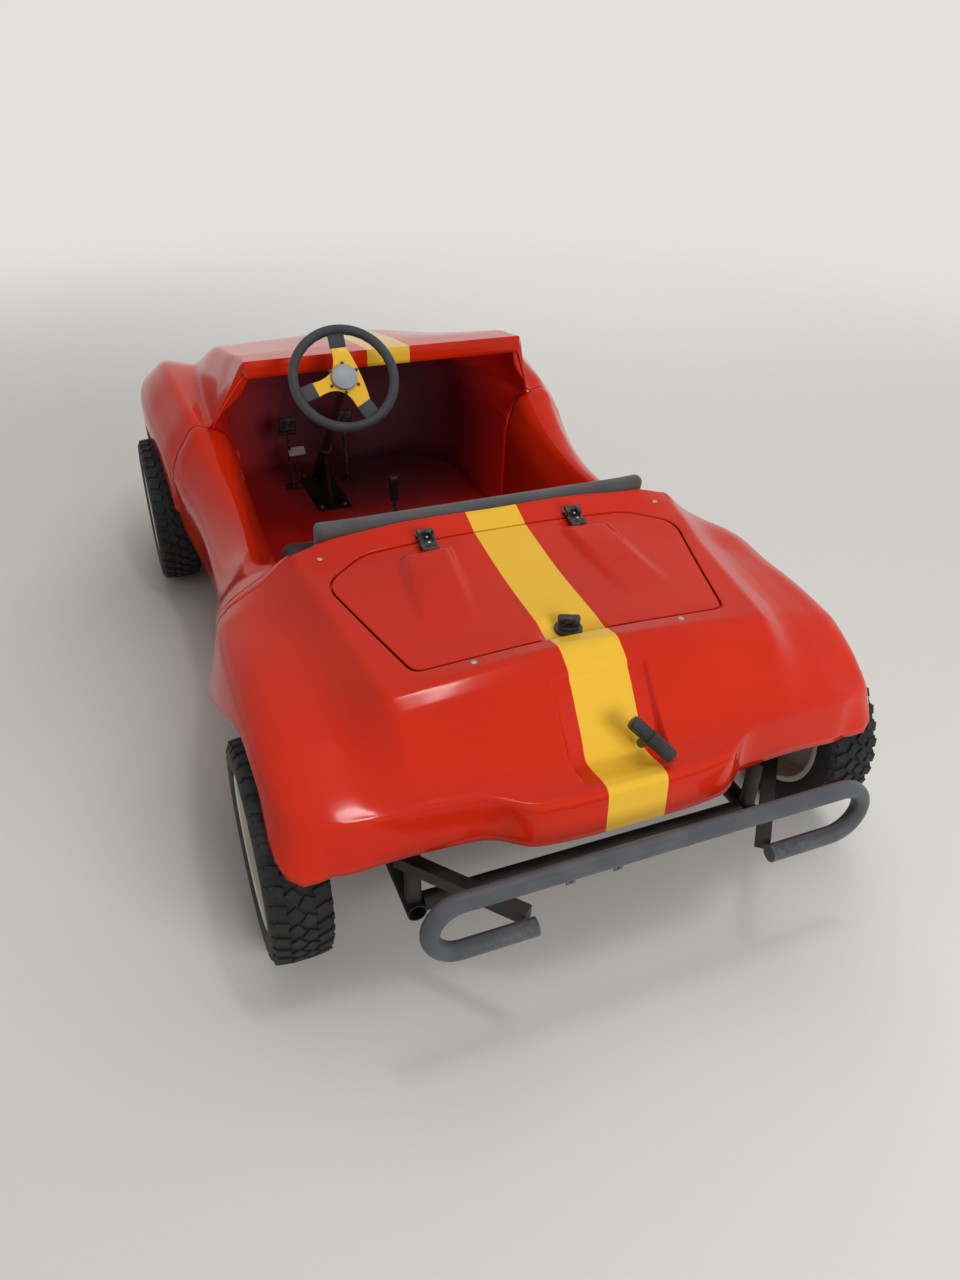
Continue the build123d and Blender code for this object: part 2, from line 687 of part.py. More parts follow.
# Bumpers: one bent tube each, the ends returning under the top bar
loop_radius = (bumper_top_z - bumper_low_z) / 2
for name, y in (("rear_bumper", bumper_rear_y), ("front_bumper", bumper_front_y)):
    turn_x = bumper_half - bumper_radius - loop_radius
    with BuildPart() as bumper:
        with BuildLine():
            Line((-bumper_end_x, y, bumper_low_z), (-turn_x, y, bumper_low_z))
            ThreePointArc((-turn_x, y, bumper_low_z),
                          (-turn_x - loop_radius, y, bumper_low_z + loop_radius),
                          (-turn_x, y, bumper_top_z))
            Line((-turn_x, y, bumper_top_z), (turn_x, y, bumper_top_z))
            ThreePointArc((turn_x, y, bumper_top_z),
                          (turn_x + loop_radius, y, bumper_low_z + loop_radius),
                          (turn_x, y, bumper_low_z))
            Line((turn_x, y, bumper_low_z), (bumper_end_x, y, bumper_low_z))
        with BuildSketch(Plane(origin=(-bumper_end_x, y, bumper_low_z), z_dir=(-1, 0, 0))):
            Circle(bumper_radius)
        sweep()
        if y > 0:
            tab_base_z = bumper_top_z - bumper_radius - tab_drop
            for x in tab_places:
                block((x - tab_width / 2, y, tab_base_z), (x + tab_width / 2, y + tab_thickness, bumper_top_z - 8))
                with Locations(Location((x, y, tab_base_z + tab_drop / 2), (90, 0, 0))):
                    Cylinder(tab_hole_radius, 4 * tab_thickness, mode=Mode.SUBTRACT)
        else:
            for x in (-bumper_end_x, bumper_end_x):
                block((x - arm_size / 2, y, bumper_low_z - arm_size / 2),
                      (x + arm_size / 2, body_front_y, bumper_low_z + arm_size / 2))
    save(bumper, name)

# Bumper arms: square tubes from the frame's tail to the bumper's ends
with BuildPart() as rear_arms:
    for side in (1, -1):
        foot = Vector(side * (frame_x + 30), frame_rear_y - 20, bumper_low_z)
        tip = Vector(side * (bumper_end_x + 4), bumper_rear_y - bumper_radius - 9, bumper_low_z)
        with BuildSketch(Plane(origin=foot, z_dir=tip - foot, x_dir=(0, 0, 1))):
            Rectangle(arm_size, arm_size)
        extrude(amount=(tip - foot).length)
        bar((side * frame_x, frame_rear_y - 25, floor_z + 0.2),
            (side * frame_x, frame_rear_y - 25, bumper_low_z + 10), 16)
save(rear_arms, "rear_bumper_arms")

# Pull-start handle on the tail
grip_direction = Vector(-0.6, 0.5, -0.6).normalized()
tail_normal = Vector(0, 0.69, 0.72).normalized()
with BuildPart() as pull_handle:
    bar(handle_middle - grip_direction * handle_half, handle_middle + grip_direction * handle_half, 12)
    bar(handle_middle - grip_direction * 7, handle_middle + grip_direction * 7, 15)
    bar(handle_middle - tail_normal * handle_stem, handle_middle, 8)
save(pull_handle, "pull_handle")

# Lid hinges: a fixed leaf whose knuckle holds the pin, and a strap on the lid
leaf_top_z = leaf_base_z + leaf_thickness
with BuildPart() as hinge_brackets:
    for side in (1, -1):
        x = side * hinge_x
        block((x - hinge_width / 2, hinge_y - hinge_leaf, leaf_base_z),
              (x + hinge_width / 2, hinge_y - barrel_outer - 2, leaf_top_z))
        block((x - knuckle_half, hinge_y - barrel_outer - 4, leaf_base_z),
              (x + knuckle_half, hinge_y + barrel_outer - 2, hinge_z))
        bar((x - knuckle_half, hinge_y, hinge_z), (x + knuckle_half, hinge_y, hinge_z), barrel_outer)
        bar((x - hinge_width / 2, hinge_y, hinge_z), (x + hinge_width / 2, hinge_y, hinge_z), pin_radius)
save(hinge_brackets, "hinge_brackets")

strap_start = barrel_outer + 2
with BuildPart() as lid_hinges:
    for side in (1, -1):
        x = side * hinge_x
        strap_plane = Plane(origin=(x, hinge_y, leaf_base_z + strap_lift)).rotated((-strap_fall, 0, 0))
        for end in (1, -1):
            near, far = sorted((x + end * (knuckle_half + knuckle_gap), x + end * hinge_width / 2))
            bar((near, hinge_y, hinge_z), (far, hinge_y, hinge_z), barrel_outer)
            block((near, hinge_y + 1, leaf_base_z + strap_lift),
                  (far, hinge_y + strap_start + leaf_thickness, hinge_z - 1))
        with BuildSketch(strap_plane):
            with Locations((0, strap_start)):
                Rectangle(hinge_width, hinge_leaf - strap_start, align=(Align.CENTER, Align.MIN))
        extrude(amount=leaf_thickness)
        with Locations(Location((x, hinge_y, hinge_z), (0, 90, 0))):
            Cylinder(pin_radius + running_fit, hinge_width + 2, mode=Mode.SUBTRACT)
save(lid_hinges, "lid_hinges")

with BuildPart() as lid_knob:
    with Locations((0, knob_y, knob_floor_z)):
        Cylinder(26, 10, align=(Align.CENTER, Align.CENTER, Align.MIN))
    with Locations((0, knob_y, knob_floor_z + 10)):
        Cylinder(20, 6, align=(Align.CENTER, Align.CENTER, Align.MIN))
    with Locations((0, knob_y, knob_floor_z + 16)):
        Box(42, 15, 20, align=(Align.CENTER, Align.CENTER, Align.MIN))
save(lid_knob, "lid_knob")

# Hand lever on the floor, and two pedals hung on one cross shaft
with BuildPart() as hand_lever:
    block((-38, -380, floor_z + panel), (22, -290, floor_z + panel + 4))
    bar((-8, -335, floor_z + panel + 2), (-8, -352, 330), 6)
    bar((-8, -352, 322), (-8, -358, 396), 14)
save(hand_lever, "hand_lever")

with BuildPart() as pedals:
    for x in pedal_places:
        block((x - 18, pedal_y - 20, floor_z + panel), (x + 18, pedal_y + 20, floor_z + panel + 5))
        bar((x, pedal_y, floor_z + panel + 3), (x, pedal_y - 6, 370), 6)
        block((x - 30, pedal_y - 14, 340), (x + 30, pedal_y + 2, 402))
save(pedals, "pedals")
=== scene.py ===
import math
import random

import bmesh
import bpy
from bpy.props import FloatProperty, FloatVectorProperty, IntProperty, PointerProperty
from mathutils import Matrix, Vector


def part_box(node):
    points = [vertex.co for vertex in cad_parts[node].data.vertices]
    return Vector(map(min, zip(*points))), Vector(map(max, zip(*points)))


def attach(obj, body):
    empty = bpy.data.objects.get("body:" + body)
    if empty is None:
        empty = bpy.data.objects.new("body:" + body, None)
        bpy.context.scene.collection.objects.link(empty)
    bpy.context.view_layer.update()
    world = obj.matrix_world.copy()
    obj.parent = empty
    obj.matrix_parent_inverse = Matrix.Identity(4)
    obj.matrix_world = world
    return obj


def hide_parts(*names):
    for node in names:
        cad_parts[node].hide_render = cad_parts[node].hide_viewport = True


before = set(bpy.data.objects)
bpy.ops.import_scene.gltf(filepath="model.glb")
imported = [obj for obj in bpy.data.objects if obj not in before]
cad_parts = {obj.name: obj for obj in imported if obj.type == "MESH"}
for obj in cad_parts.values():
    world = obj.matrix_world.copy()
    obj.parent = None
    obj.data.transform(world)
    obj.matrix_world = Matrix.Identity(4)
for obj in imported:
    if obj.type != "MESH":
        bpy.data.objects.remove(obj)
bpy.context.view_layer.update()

MM = 0.001

bl_info = {
    "name": "Child-size dune buggy",
    "version": (1, 0, 0),
    "blender": (4, 5, 0),
    "location": "View3D > Sidebar > Buggy",
    "description": "Dresses the buggy's CAD frame with its fibreglass skins, seat, wheels and fittings",
    "category": "Object",
}


# Colours and nodes

def srgb(code):
    """Linear RGBA of an sRGB hex code."""
    parts = [int(code[i:i + 2], 16) / 255 for i in (1, 3, 5)]
    return tuple(p / 12.92 if p <= 0.04045 else ((p + 0.055) / 1.055) ** 2.4 for p in parts) + (1.0,)


def add_node(tree, kind, settings=None, inputs=None):
    """Adds a node with its settings; an input is a value or the socket that feeds it."""
    node = tree.nodes.new(kind)
    for key, value in (settings or {}).items():
        setattr(node, key, value)
    for key, value in (inputs or {}).items():
        if isinstance(value, bpy.types.NodeSocket):
            tree.links.new(value, node.inputs[key])
        else:
            node.inputs[key].default_value = value
    return node


def new_material(name, **values):
    """Material with one Principled shader; a value that is the same all over stays on its socket."""
    made = bpy.data.materials.new(name)
    made.use_nodes = True
    tree = made.node_tree
    tree.nodes.clear()
    shader = add_node(tree, "ShaderNodeBsdfPrincipled",
                      inputs={key.replace("_", " "): value for key, value in values.items()})
    add_node(tree, "ShaderNodeOutputMaterial", inputs={"Surface": shader.outputs["BSDF"]})
    place = add_node(tree, "ShaderNodeTexCoord").outputs["Object"]
    return made, tree, shader, place


def maths(tree, operation, *values):
    return add_node(tree, "ShaderNodeMath", {"operation": operation}, dict(enumerate(values))).outputs[0]


def ranged(tree, value, low, high, to_low=0.0, to_high=1.0, kind="LINEAR"):
    node = add_node(tree, "ShaderNodeMapRange", {"interpolation_type": kind}, {
        "Value": value, "From Min": low, "From Max": high, "To Min": to_low, "To Max": to_high})
    return node.outputs["Result"]


def cloud(tree, place, scale, detail):
    return add_node(tree, "ShaderNodeTexNoise", inputs={
        "Vector": place, "Scale": scale, "Detail": detail}).outputs["Fac"]


def uneven(tree, place, size_mm, low, high, lo=0.35, hi=0.65, detail=3.0):
    """Cloudy value between low and high whose patches are about size_mm across."""
    return ranged(tree, cloud(tree, place, 1000 / size_mm, detail), lo, hi, low, high)


def blend_colour(tree, factor, first, second):
    return add_node(tree, "ShaderNodeMix", {"data_type": "RGBA"}, {0: factor, 6: first, 7: second}).outputs[2]


def worn_edge(tree, amount):
    """That amount on convex edges, 0 on flats, from the mesh's own pointiness."""
    shape = add_node(tree, "ShaderNodeNewGeometry").outputs["Pointiness"]
    return ranged(tree, shape, 0.53, 0.62, 0.0, amount)


def relief(tree, height, depth_mm, strength=1.0):
    return add_node(tree, "ShaderNodeBump", inputs={
        "Height": height, "Distance": depth_mm * MM, "Strength": strength}).outputs["Normal"]


def join(tree, shader, **sockets):
    for key, socket in sockets.items():
        tree.links.new(socket, shader.inputs[key.replace("_", " ")])


MATERIALS = {}
# Place in metres where the painted shade deep in the foot well is darkest
PEDAL_CORNER = (-0.1, -1.02, 0.36)


def gelcoat(name, base, shade, stripe, roughness=(0.2, 0.3)):
    # Polished polyester gelcoat on fibreglass: deep even colour under a wet gloss, with a faint
    # ripple from the mould
    made, tree, shader, place = new_material(name, IOR=1.46, Specular_IOR_Level=0.16, Coat_Weight=0.07,
                                             Coat_Roughness=0.04)
    tone = blend_colour(tree, uneven(tree, place, 420, 0.0, 1.0, 0.2, 0.8), base, shade)
    if stripe:
        colour, half = stripe
        across = add_node(tree, "ShaderNodeSeparateXYZ", inputs={0: place}).outputs["X"]
        band = maths(tree, "LESS_THAN", maths(tree, "ABSOLUTE", across), half)
        tone = blend_colour(tree, band, tone, colour)
    join(tree, shader, Base_Color=tone, Roughness=uneven(tree, place, 120, *roughness, 0.2, 0.8),
         Normal=relief(tree, cloud(tree, place, 24.0, 1.0), 0.25))
    MATERIALS[name] = made


def gelcoat_with_well_shade(name, red, half_shade, black):
    # Inside of the moulding: dull red gelcoat with painted shade that darkens through a purplish half-shade to
    # near black round the pedals, deep in the foot well, and fades out towards the walls
    made, tree, shader, place = new_material(name, IOR=1.46)
    away = add_node(tree, "ShaderNodeVectorMath", {"operation": "DISTANCE"}, {0: place, 1: PEDAL_CORNER})
    reach = maths(tree, "ADD", away.outputs["Value"], uneven(tree, place, 26, -0.03, 0.03, 0.2, 0.8, 4.0))
    near = ranged(tree, reach, 0.2, 0.48, kind="SMOOTHSTEP")
    far = ranged(tree, reach, 0.32, 0.62, kind="SMOOTHSTEP")
    # Painted shade: red far from the pedals, purplish nearer, near black round them
    tone = blend_colour(tree, far, blend_colour(tree, near, black, half_shade), red)
    join(tree, shader, Base_Color=tone, Roughness=uneven(tree, place, 90, 0.34, 0.5, 0.2, 0.8),
         Normal=relief(tree, cloud(tree, place, 60.0, 2.0), 0.5))
    MATERIALS[name] = made


def satin(name, base, dirt, roughness, grain_mm, depth_mm, metal=0.0, wear=None, patch_mm=60.0, amount=0.5):
    # Sprayed or moulded finish: even colour, dirt in soft patches, fine grain, and rubbed edges
    made, tree, shader, place = new_material(name, Metallic=metal)
    tone = blend_colour(tree, uneven(tree, place, patch_mm, 0.0, amount, 0.42, 0.68, 5.0), base, dirt)
    if wear:
        colour, share = wear
        rubbed = uneven(tree, place, 9, 0.0, 1.0, 0.45, 0.6, 4.0)
        tone = blend_colour(tree, maths(tree, "MULTIPLY", worn_edge(tree, share), rubbed), tone, colour)
    join(tree, shader, Base_Color=tone, Roughness=uneven(tree, place, 40, *roughness),
         Normal=relief(tree, cloud(tree, place, 1000 / grain_mm, 2.0), depth_mm))
    MATERIALS[name] = made


def leather_grain(name, base, pale, roughness, cell_mm, depth_mm):
    # Embossed vinyl or leathercloth: small rounded cells with creases between, paler where rubbed
    made, tree, shader, place = new_material(name, Sheen_Weight=0.15, Sheen_Roughness=0.5)
    cells = add_node(tree, "ShaderNodeTexVoronoi", {"feature": "F1"}, {
        "Vector": place, "Scale": 1000 / cell_mm})
    rubbed = maths(tree, "MULTIPLY", worn_edge(tree, 1.0), uneven(tree, place, 4, 0.0, 1.0, 0.56, 0.64, 4.0))
    tone = blend_colour(tree, uneven(tree, place, 90, 0.0, 0.5), base, pale)
    tone = blend_colour(tree, rubbed, tone, srgb("#A7A29B"))
    join(tree, shader, Base_Color=tone, Roughness=uneven(tree, place, 50, *roughness),
         Normal=relief(tree, cells.outputs["Distance"], depth_mm))
    MATERIALS[name] = made


def make_materials(paint):
    red = tuple(paint.red) + (1.0,)
    yellow = tuple(paint.yellow) + (1.0,)
    half = paint.stripe_width / 2
    gelcoat("red_gelcoat", red, srgb("#B21E0B"), (yellow, half), (0.1, 0.17))
    gelcoat("tub_gelcoat", srgb("#A01510"), srgb("#8A1210"), None, (0.3, 0.42))
    # Liner and floor tub: red with painted shade of the foot well round the pedals
    gelcoat_with_well_shade("overspray_gelcoat", srgb("#D8261A"), srgb("#A83C42"), srgb("#4C2630"))
    gelcoat("yellow_enamel", yellow, srgb("#CFA01F"), None, (0.3, 0.42))
    # Black vinyl leathercloth on the seat
    leather_grain("seat_vinyl", srgb("#1B1C1E"), srgb("#2C2D2F"), (0.42, 0.6), 2.2, 0.25)
    # The back board's cover has gone grey with use
    leather_grain("back_vinyl", srgb("#3A3A3B"), srgb("#4C4B4A"), (0.5, 0.68), 2.6, 0.3)
    # Bumper tube in dark grey chassis paint, satin, chipped at its ends
    satin("bumper_paint", srgb("#3F4247"), srgb("#55565A"), (0.34, 0.5), 6, 0.12,
          wear=(srgb("#74767A"), 0.35))
    # Black chassis paint under road dust
    satin("chassis_paint", srgb("#121315"), srgb("#2A2724"), (0.45, 0.65), 5, 0.15, patch_mm=90)
    # Natural rubber tread: matt black-grey with dust in the grooves
    satin("tyre_rubber", srgb("#151618"), srgb("#2E2C28"), (0.66, 0.85), 2.5, 0.25, patch_mm=45,
          amount=0.35)
    # Off-white wheel enamel, brushed on, with grime
    satin("wheel_enamel", srgb("#CFCBC0"), srgb("#A39D90"), (0.35, 0.55), 8, 0.15, patch_mm=80,
          amount=0.25)
    # Soft moulded rubber of the steering wheel, semi-matt
    satin("grip_rubber", srgb("#2A2C30"), srgb("#36383C"), (0.5, 0.62), 1.6, 0.12)
    # Injection-moulded ABS, black with a low sheen
    satin("black_abs", srgb("#121314"), srgb("#26272A"), (0.3, 0.45), 1.5, 0.06,
          wear=(srgb("#6D6F72"), 0.5))
    # Zinc-plated steel bolts, dull silver
    satin("zinc_steel", srgb("#B9BBBD"), srgb("#8D8A84"), (0.3, 0.48), 3, 0.05, metal=1.0, patch_mm=8)
    # Turned steel shafts and plates, with a film of oil and dust
    satin("bare_steel", srgb("#8F9194"), srgb("#5B5148"), (0.32, 0.5), 2, 0.05, metal=1.0, patch_mm=25)
    # Cast aluminium, grey and slightly rough from the mould
    satin("cast_aluminium", srgb("#A9ACAF"), srgb("#7A7B7C"), (0.4, 0.55), 2, 0.15, metal=0.85)
    # Anodised cap of the steering wheel
    satin("silver_cap", srgb("#8F9397"), srgb("#7C8084"), (0.4, 0.5), 1.5, 0.03, metal=0.4)
    # Engine casing under dusty grey paint
    satin("engine_paint", srgb("#55585B"), srgb("#3B3833"), (0.5, 0.7), 3, 0.3)
    # White rubber-faced pad, dirty
    satin("white_pad", srgb("#D5D6D4"), srgb("#9D9C98"), (0.5, 0.6), 2, 0.1)


# Shapes

# A rounding takes up at most this share of the run on either side of its corner
NEARLY_HALF = 0.49


def eased(at, knots, values, spreads):
    """Value on straight runs through the knots, with each inner corner rounded by its spread."""
    last = len(knots) - 1
    step = 0
    while step < last - 1 and at > knots[step + 1]:
        step += 1

    def slope(k):
        return (values[k + 1] - values[k]) / (knots[k + 1] - knots[k])

    for k in (step, step + 1):
        if 0 < k < last:
            spread = min(spreads[k - 1], NEARLY_HALF * (knots[k] - knots[k - 1]),
                         NEARLY_HALF * (knots[k + 1] - knots[k]))
            reach = at - knots[k] + spread
            if 0 <= reach <= 2 * spread:
                return (values[k] - slope(k - 1) * spread + slope(k - 1) * reach
                        + (slope(k) - slope(k - 1)) * reach * reach / (4 * spread))
    return values[step] + slope(step) * (at - knots[step])


def smooth(t):
    t = min(max(t, 0.0), 1.0)
    return t * t * (3 - 2 * t)


def spot(point):
    return round(point.x, 6), round(point.y, 6), round(point.z, 6)


def placed_grid(columns, rows, place):
    """Grid of that many cells, each corner moved in millimetres to place(column, row)."""
    shape = bmesh.new()
    bmesh.ops.create_grid(shape, x_segments=columns, y_segments=rows, size=1)
    for corner in shape.verts:
        column = round((corner.co.x + 1) / 2 * columns)
        row = round((corner.co.y + 1) / 2 * rows)
        corner.co = Vector(place(column, row)) * MM
    return shape


def rounded_path(points, radii, steps=8):
    """Open run of plan points with its inner corners rounded."""
    path = [Vector(points[0])]
    for k in range(1, len(points) - 1):
        before, corner, after = Vector(points[k - 1]), Vector(points[k]), Vector(points[k + 1])
        radius = min(radii[k - 1], NEARLY_HALF * (before - corner).length,
                     NEARLY_HALF * (after - corner).length)
        start = corner + (before - corner).normalized() * radius
        end = corner + (after - corner).normalized() * radius
        for step in range(steps + 1):
            t = step / steps
            path.append(start * (1 - t) ** 2 + corner * 2 * t * (1 - t) + end * t * t)
    path.append(Vector(points[-1]))
    return path


def spaced(path, keys, counts):
    """Points along a path, evenly spaced between the places nearest to its keys."""
    lengths = [0.0]
    for a, b in zip(path, path[1:]):
        lengths.append(lengths[-1] + (b - a).length)
    marks = [min(range(len(path)), key=lambda i: (path[i] - Vector(key)).length) for key in keys]
    points = []
    for first, second, count in zip(marks, marks[1:], counts):
        for step in range(count):
            want = lengths[first] + (lengths[second] - lengths[first]) * step / count
            i = max(j for j in range(len(path) - 1) if lengths[j] <= want + 1e-9)
            part = (want - lengths[i]) / (lengths[i + 1] - lengths[i])
            points.append(path[i].lerp(path[i + 1], part))
    points.append(path[marks[-1]].copy())
    return points


def finish_piece(name, shape, material, body, nodes=(), wall=0.0, angle=35.0, recalc=True):
    """Turns a bmesh into a named piece that rides on a body."""
    if recalc:
        bmesh.ops.recalc_face_normals(shape, faces=shape.faces)
    mesh = bpy.data.meshes.new(name)
    shape.to_mesh(mesh)
    shape.free()
    piece = bpy.data.objects.new(name, mesh)
    bpy.context.scene.collection.objects.link(piece)
    for part in (material if isinstance(material, (list, tuple)) else (material,)):
        mesh.materials.append(MATERIALS[part])
    mesh.shade_smooth()
    mesh.set_sharp_from_angle(angle=math.radians(angle))
    if wall:
        shell = piece.modifiers.new("wall", "SOLIDIFY")
        shell.thickness = wall * MM
        shell.offset = -1
    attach(piece, body)
    if nodes:
        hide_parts(*nodes)
    return piece


def shift(x, y, z):
    """Move in millimetres."""
    return Matrix.Translation(Vector((x, y, z)) * MM)


def turn_by(degrees, axis="Z"):
    return Matrix.Rotation(math.radians(degrees), 4, axis)


def cad_box(node):
    """Low and high corner of a CAD node's box, in metres."""
    return (Vector(corner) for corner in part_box(node))


# These three keep a fixed order, which a set doesn't, so that each run makes the same mesh

def edges_of(corners):
    return list(dict.fromkeys(edge for corner in corners for edge in corner.link_edges))


def faces_of(corners):
    return list(dict.fromkeys(face for corner in corners for face in corner.link_faces))


def corners_of(faces):
    return list(dict.fromkeys(corner for face in faces for corner in face.verts))


def paint_faces(faces, material):
    for face in faces:
        face.material_index = material


def bevelled(shape, geom, offset, segments):
    """Rounds edges by that many millimetres and gives the new faces."""
    return bmesh.ops.bevel(shape, geom=geom, offset=offset * MM, offset_type="OFFSET", affect="EDGES",
                           segments=segments, profile=0.5, material=-1)["faces"]


def add_block(shape, size, matrix, bevel=1.5, segments=2):
    """Box with rounded edges; size in millimetres."""
    made = bmesh.ops.create_cube(shape, size=1.0)["verts"]
    bmesh.ops.scale(shape, vec=Vector(size) * MM, verts=made)
    rounded = bevelled(shape, made + edges_of(made), bevel, segments)
    made = corners_of(faces_of(corners_of(rounded)))
    bmesh.ops.transform(shape, matrix=matrix, verts=made)


def add_turned(shape, profile, matrix, steps=32, material=0):
    """Solid turned about the matrix's Z axis from (radius, height) points in millimetres."""
    corners = [shape.verts.new(Vector((radius, 0, height)) * MM) for radius, height in profile]
    edges = [shape.edges.new(pair) for pair in zip(corners, corners[1:])]
    made = bmesh.ops.spin(shape, geom=corners + edges, cent=(0, 0, 0), axis=(0, 0, 1), angle=2 * math.pi,
                          steps=steps, use_merge=True)
    seen = dict.fromkeys(corners)
    queue = list(corners)
    while queue:
        for edge in queue.pop().link_edges:
            for corner in edge.verts:
                if corner not in seen:
                    seen[corner] = True
                    queue.append(corner)
    bmesh.ops.remove_doubles(shape, verts=list(seen), dist=1e-6)
    seen = [corner for corner in seen if corner.is_valid]
    faces = faces_of(seen)
    paint_faces(faces, material)
    bmesh.ops.recalc_face_normals(shape, faces=faces)
    bmesh.ops.transform(shape, matrix=matrix, verts=seen)
    return seen


def at(x, y, z, towards=(0, 0, 1), turn=0.0):
    """Placing matrix in millimetres whose Z axis points towards a direction."""
    axis = Vector(towards).normalized()
    return shift(x, y, z) @ axis.to_track_quat("Z", "Y").to_matrix().to_4x4() @ turn_by(turn)


def disc(radius, height, edge=1.0):
    """Profile of a disc with a rounded rim."""
    inset = edge * 0.3
    return [(0, 0), (radius - edge, 0), (radius - inset, inset), (radius, edge), (radius, height - edge),
            (radius - inset, height - inset), (radius - edge, height), (0, height)]


def rod(radius, height):
    """Profile of a plain round bar."""
    return [(0, 0), (radius, 0), (radius, height), (0, height)]


def add_hex_bolt(shape, matrix, across=10.0, height=5.0, material=0):
    """Hexagon head on a washer."""
    washer = 1.4
    add_turned(shape, disc(across * 0.85, washer, 0.4), matrix, 20, material)
    radius = across * 0.577 * MM
    head = bmesh.ops.create_cone(shape, cap_ends=True, segments=6, radius1=radius, radius2=radius,
                                 depth=height * MM)["verts"]
    faces = faces_of(corners_of(bevelled(shape, head + edges_of(head), 0.5, 1)))
    paint_faces(faces, material)
    bmesh.ops.transform(shape, matrix=matrix @ Matrix.Translation((0, 0, (washer + height / 2) * MM)),
                        verts=corners_of(faces))


# Body surface: height in millimetres over the plan, from cross-sections of the +X half

# y, centre z, ridge x z, slope x z, crown x z, shoulder x z, spread along y
REAR_ROWS = (
    (385, 640, 440, 599, 500, 543, 556, 512, 590, 489, 0),
    (440, 617, 434, 590, 496, 541, 566, 518, 600, 500, 12),
    (596, 591, 412, 577, 478, 536, 572, 527, 606, 510, 60),
    (700, 585, 402, 569, 470, 530, 574, 525, 604, 511, 50),
    (816, 580, 391, 562, 462, 519, 570, 514, 600, 501, 12),
    (856, 592, 387, 559, 456, 506, 566, 502, 596, 488, 11),
    (905, 561, 381, 532, 448, 484, 556, 478, 588, 468, 20),
    (960, 487, 372, 477, 440, 452, 540, 450, 576, 446, 26),
    (1000, 447, 360, 442, 436, 432, 530, 434, 570, 430, 19),
    (1034, 432, 350, 430, 430, 424, 525, 420, 565, 412, 15),
    (1100, 428, 330, 424, 424, 416, 520, 412, 560, 404, 0),
)
REAR_Y = [row[0] for row in REAR_ROWS]
REAR_SPREADS = [row[10] for row in REAR_ROWS[1:-1]]
REAR_COLUMNS = [[row[k] for row in REAR_ROWS] for k in range(1, 10)]
NOSE_ROWS = (
    (-1150, 548, 372, 520, 420, 470, 500, 512, 592, 452, 0),
    (-1040, 606, 380, 580, 436, 556, 526, 584, 614, 512, 50),
    (-920, 657, 396, 634, 446, 594, 540, 617, 622, 540, 55),
    (-776, 700, 411, 688, 460, 598, 544, 622, 622, 542, 80),
    (-520, 746, 397, 738, 470, 570, 526, 596, 606, 488, 60),
    (-460, 756, 389, 751, 470, 561, 520, 575, 594, 462, 25),
    (-320, 774, 386, 773, 478, 550, 512, 556, 578, 430, 0),
)
NOSE_Y = [row[0] for row in NOSE_ROWS]
NOSE_SPREADS = [row[10] for row in NOSE_ROWS[1:-1]]
NOSE_COLUMNS = [[row[k] for row in NOSE_ROWS] for k in range(1, 10)]


def surface(x, y, knots, columns, spreads, across):
    """Height of a body surface at x, y."""
    top, x1, z1, x2, z2, x3, z3, x4, z4 = (eased(y, knots, column, spreads) for column in columns)
    return eased(abs(x), (-x1, 0, x1, x2, x3, x4), (z1, top, z1, z2, z3, z4), across)


def rear_top(x, y):
    """Height of the rear body, which stands a little lower on the right wing than on the left."""
    arch = 14 * smooth(abs(x) / 250) * smooth((440 - abs(x)) / 90) * (1 - smooth((y - 385) / 90))
    corner = 6 * smooth((-x - 280) / 120) * (1 - smooth((y - 470) / 100))
    wing = 12 * smooth((-x - 460) / 110) * smooth((y - 460) / 160)
    tail = 6 * smooth((-x - 470) / 90) * smooth((y - 890) / 60)
    height = surface(x, y, REAR_Y, REAR_COLUMNS, REAR_SPREADS, (140, 9, 30, 26))
    return height + arch + corner - wing - tail


def nose_top(x, y):
    """Height of the nose; the hood droops a little towards the right front wheel."""
    ridge = eased(y, (-1150, -800, -500, -320), (30, 20, 10, 7), (60, 60))
    droop = 28 * smooth((-x - 40) / 340) * smooth((-480 - y) / 300) * smooth((600 + x) / 140)
    return surface(x, y, NOSE_Y, NOSE_COLUMNS, NOSE_SPREADS, (160, ridge, 14, 18)) - droop


def tail_pocket(x, y):
    """Depth of the shallow pocket in the tail that holds the pull handle."""
    depth = eased(y, (870, 898, 904, 967, 987, 1014, 1046, 1100), (0, 0, 9, 17, 34, 16, 0, 0),
                  (2, 2, 12, 8, 10, 14))
    ramp = 7 + 0.2 * depth
    return max(depth, 0) * smooth((93 + ramp / 2 - abs(x)) / ramp)


def lid_relief(x, y):
    """Height added to the lid: two shallow bulges, less the dished rest for the knob."""
    inner = 129 + (y - 467) * 0.11
    outer = 231 + (y - 467) * 0.137
    rise = smooth((y - 462) / 26) * (1 - smooth((y - 520) / 225))
    across = smooth((abs(x) - inner + 10) / 20) * smooth((outer + 10 - abs(x)) / 20)
    away = ((x - 6) / 74) ** 2 + ((y - 806) / 66) ** 2
    dish = 13 * smooth(1.25 * (1 - away))
    return 13 * rise * across - dish


LID_OUTLINE = ((0, 442), (308, 442), (396, 502), (318, 812), (0, 812))
LID_ROUNDS = (34, 44, 22)
HOLE_OUTLINE = ((0, 437), (310, 437), (402, 500), (323, 817), (130, 817), (112, 817), (78, 817), (0, 817))
LEDGE_OUTLINE = ((0, 452), (300, 452), (384, 505), (309, 802), (130, 802), (112, 802), (78, 802), (0, 802))
HOLE_ROUNDS = LID_ROUNDS + (0, 0, 0)
TAIL_OUTLINE = ((0, 385), (580, 385), (597, 520), (592, 700), (586, 870), (570, 962), (516, 1000),
                (440, 1003), (258, 1018), (192, 1058), (130, 1064), (112, 1065), (78, 1066), (0, 1066))
TAIL_ROUNDS = (0, 60, 60, 60, 44, 40, 30, 30, 24, 10, 0, 0)
# The lid's opening has a ledge all round, and the lid a turned-down edge; both start with a soft edge
LEDGE_DEPTH = 10
LID_EDGE_DEPTH = 6
SOFT_EDGE = 0.7


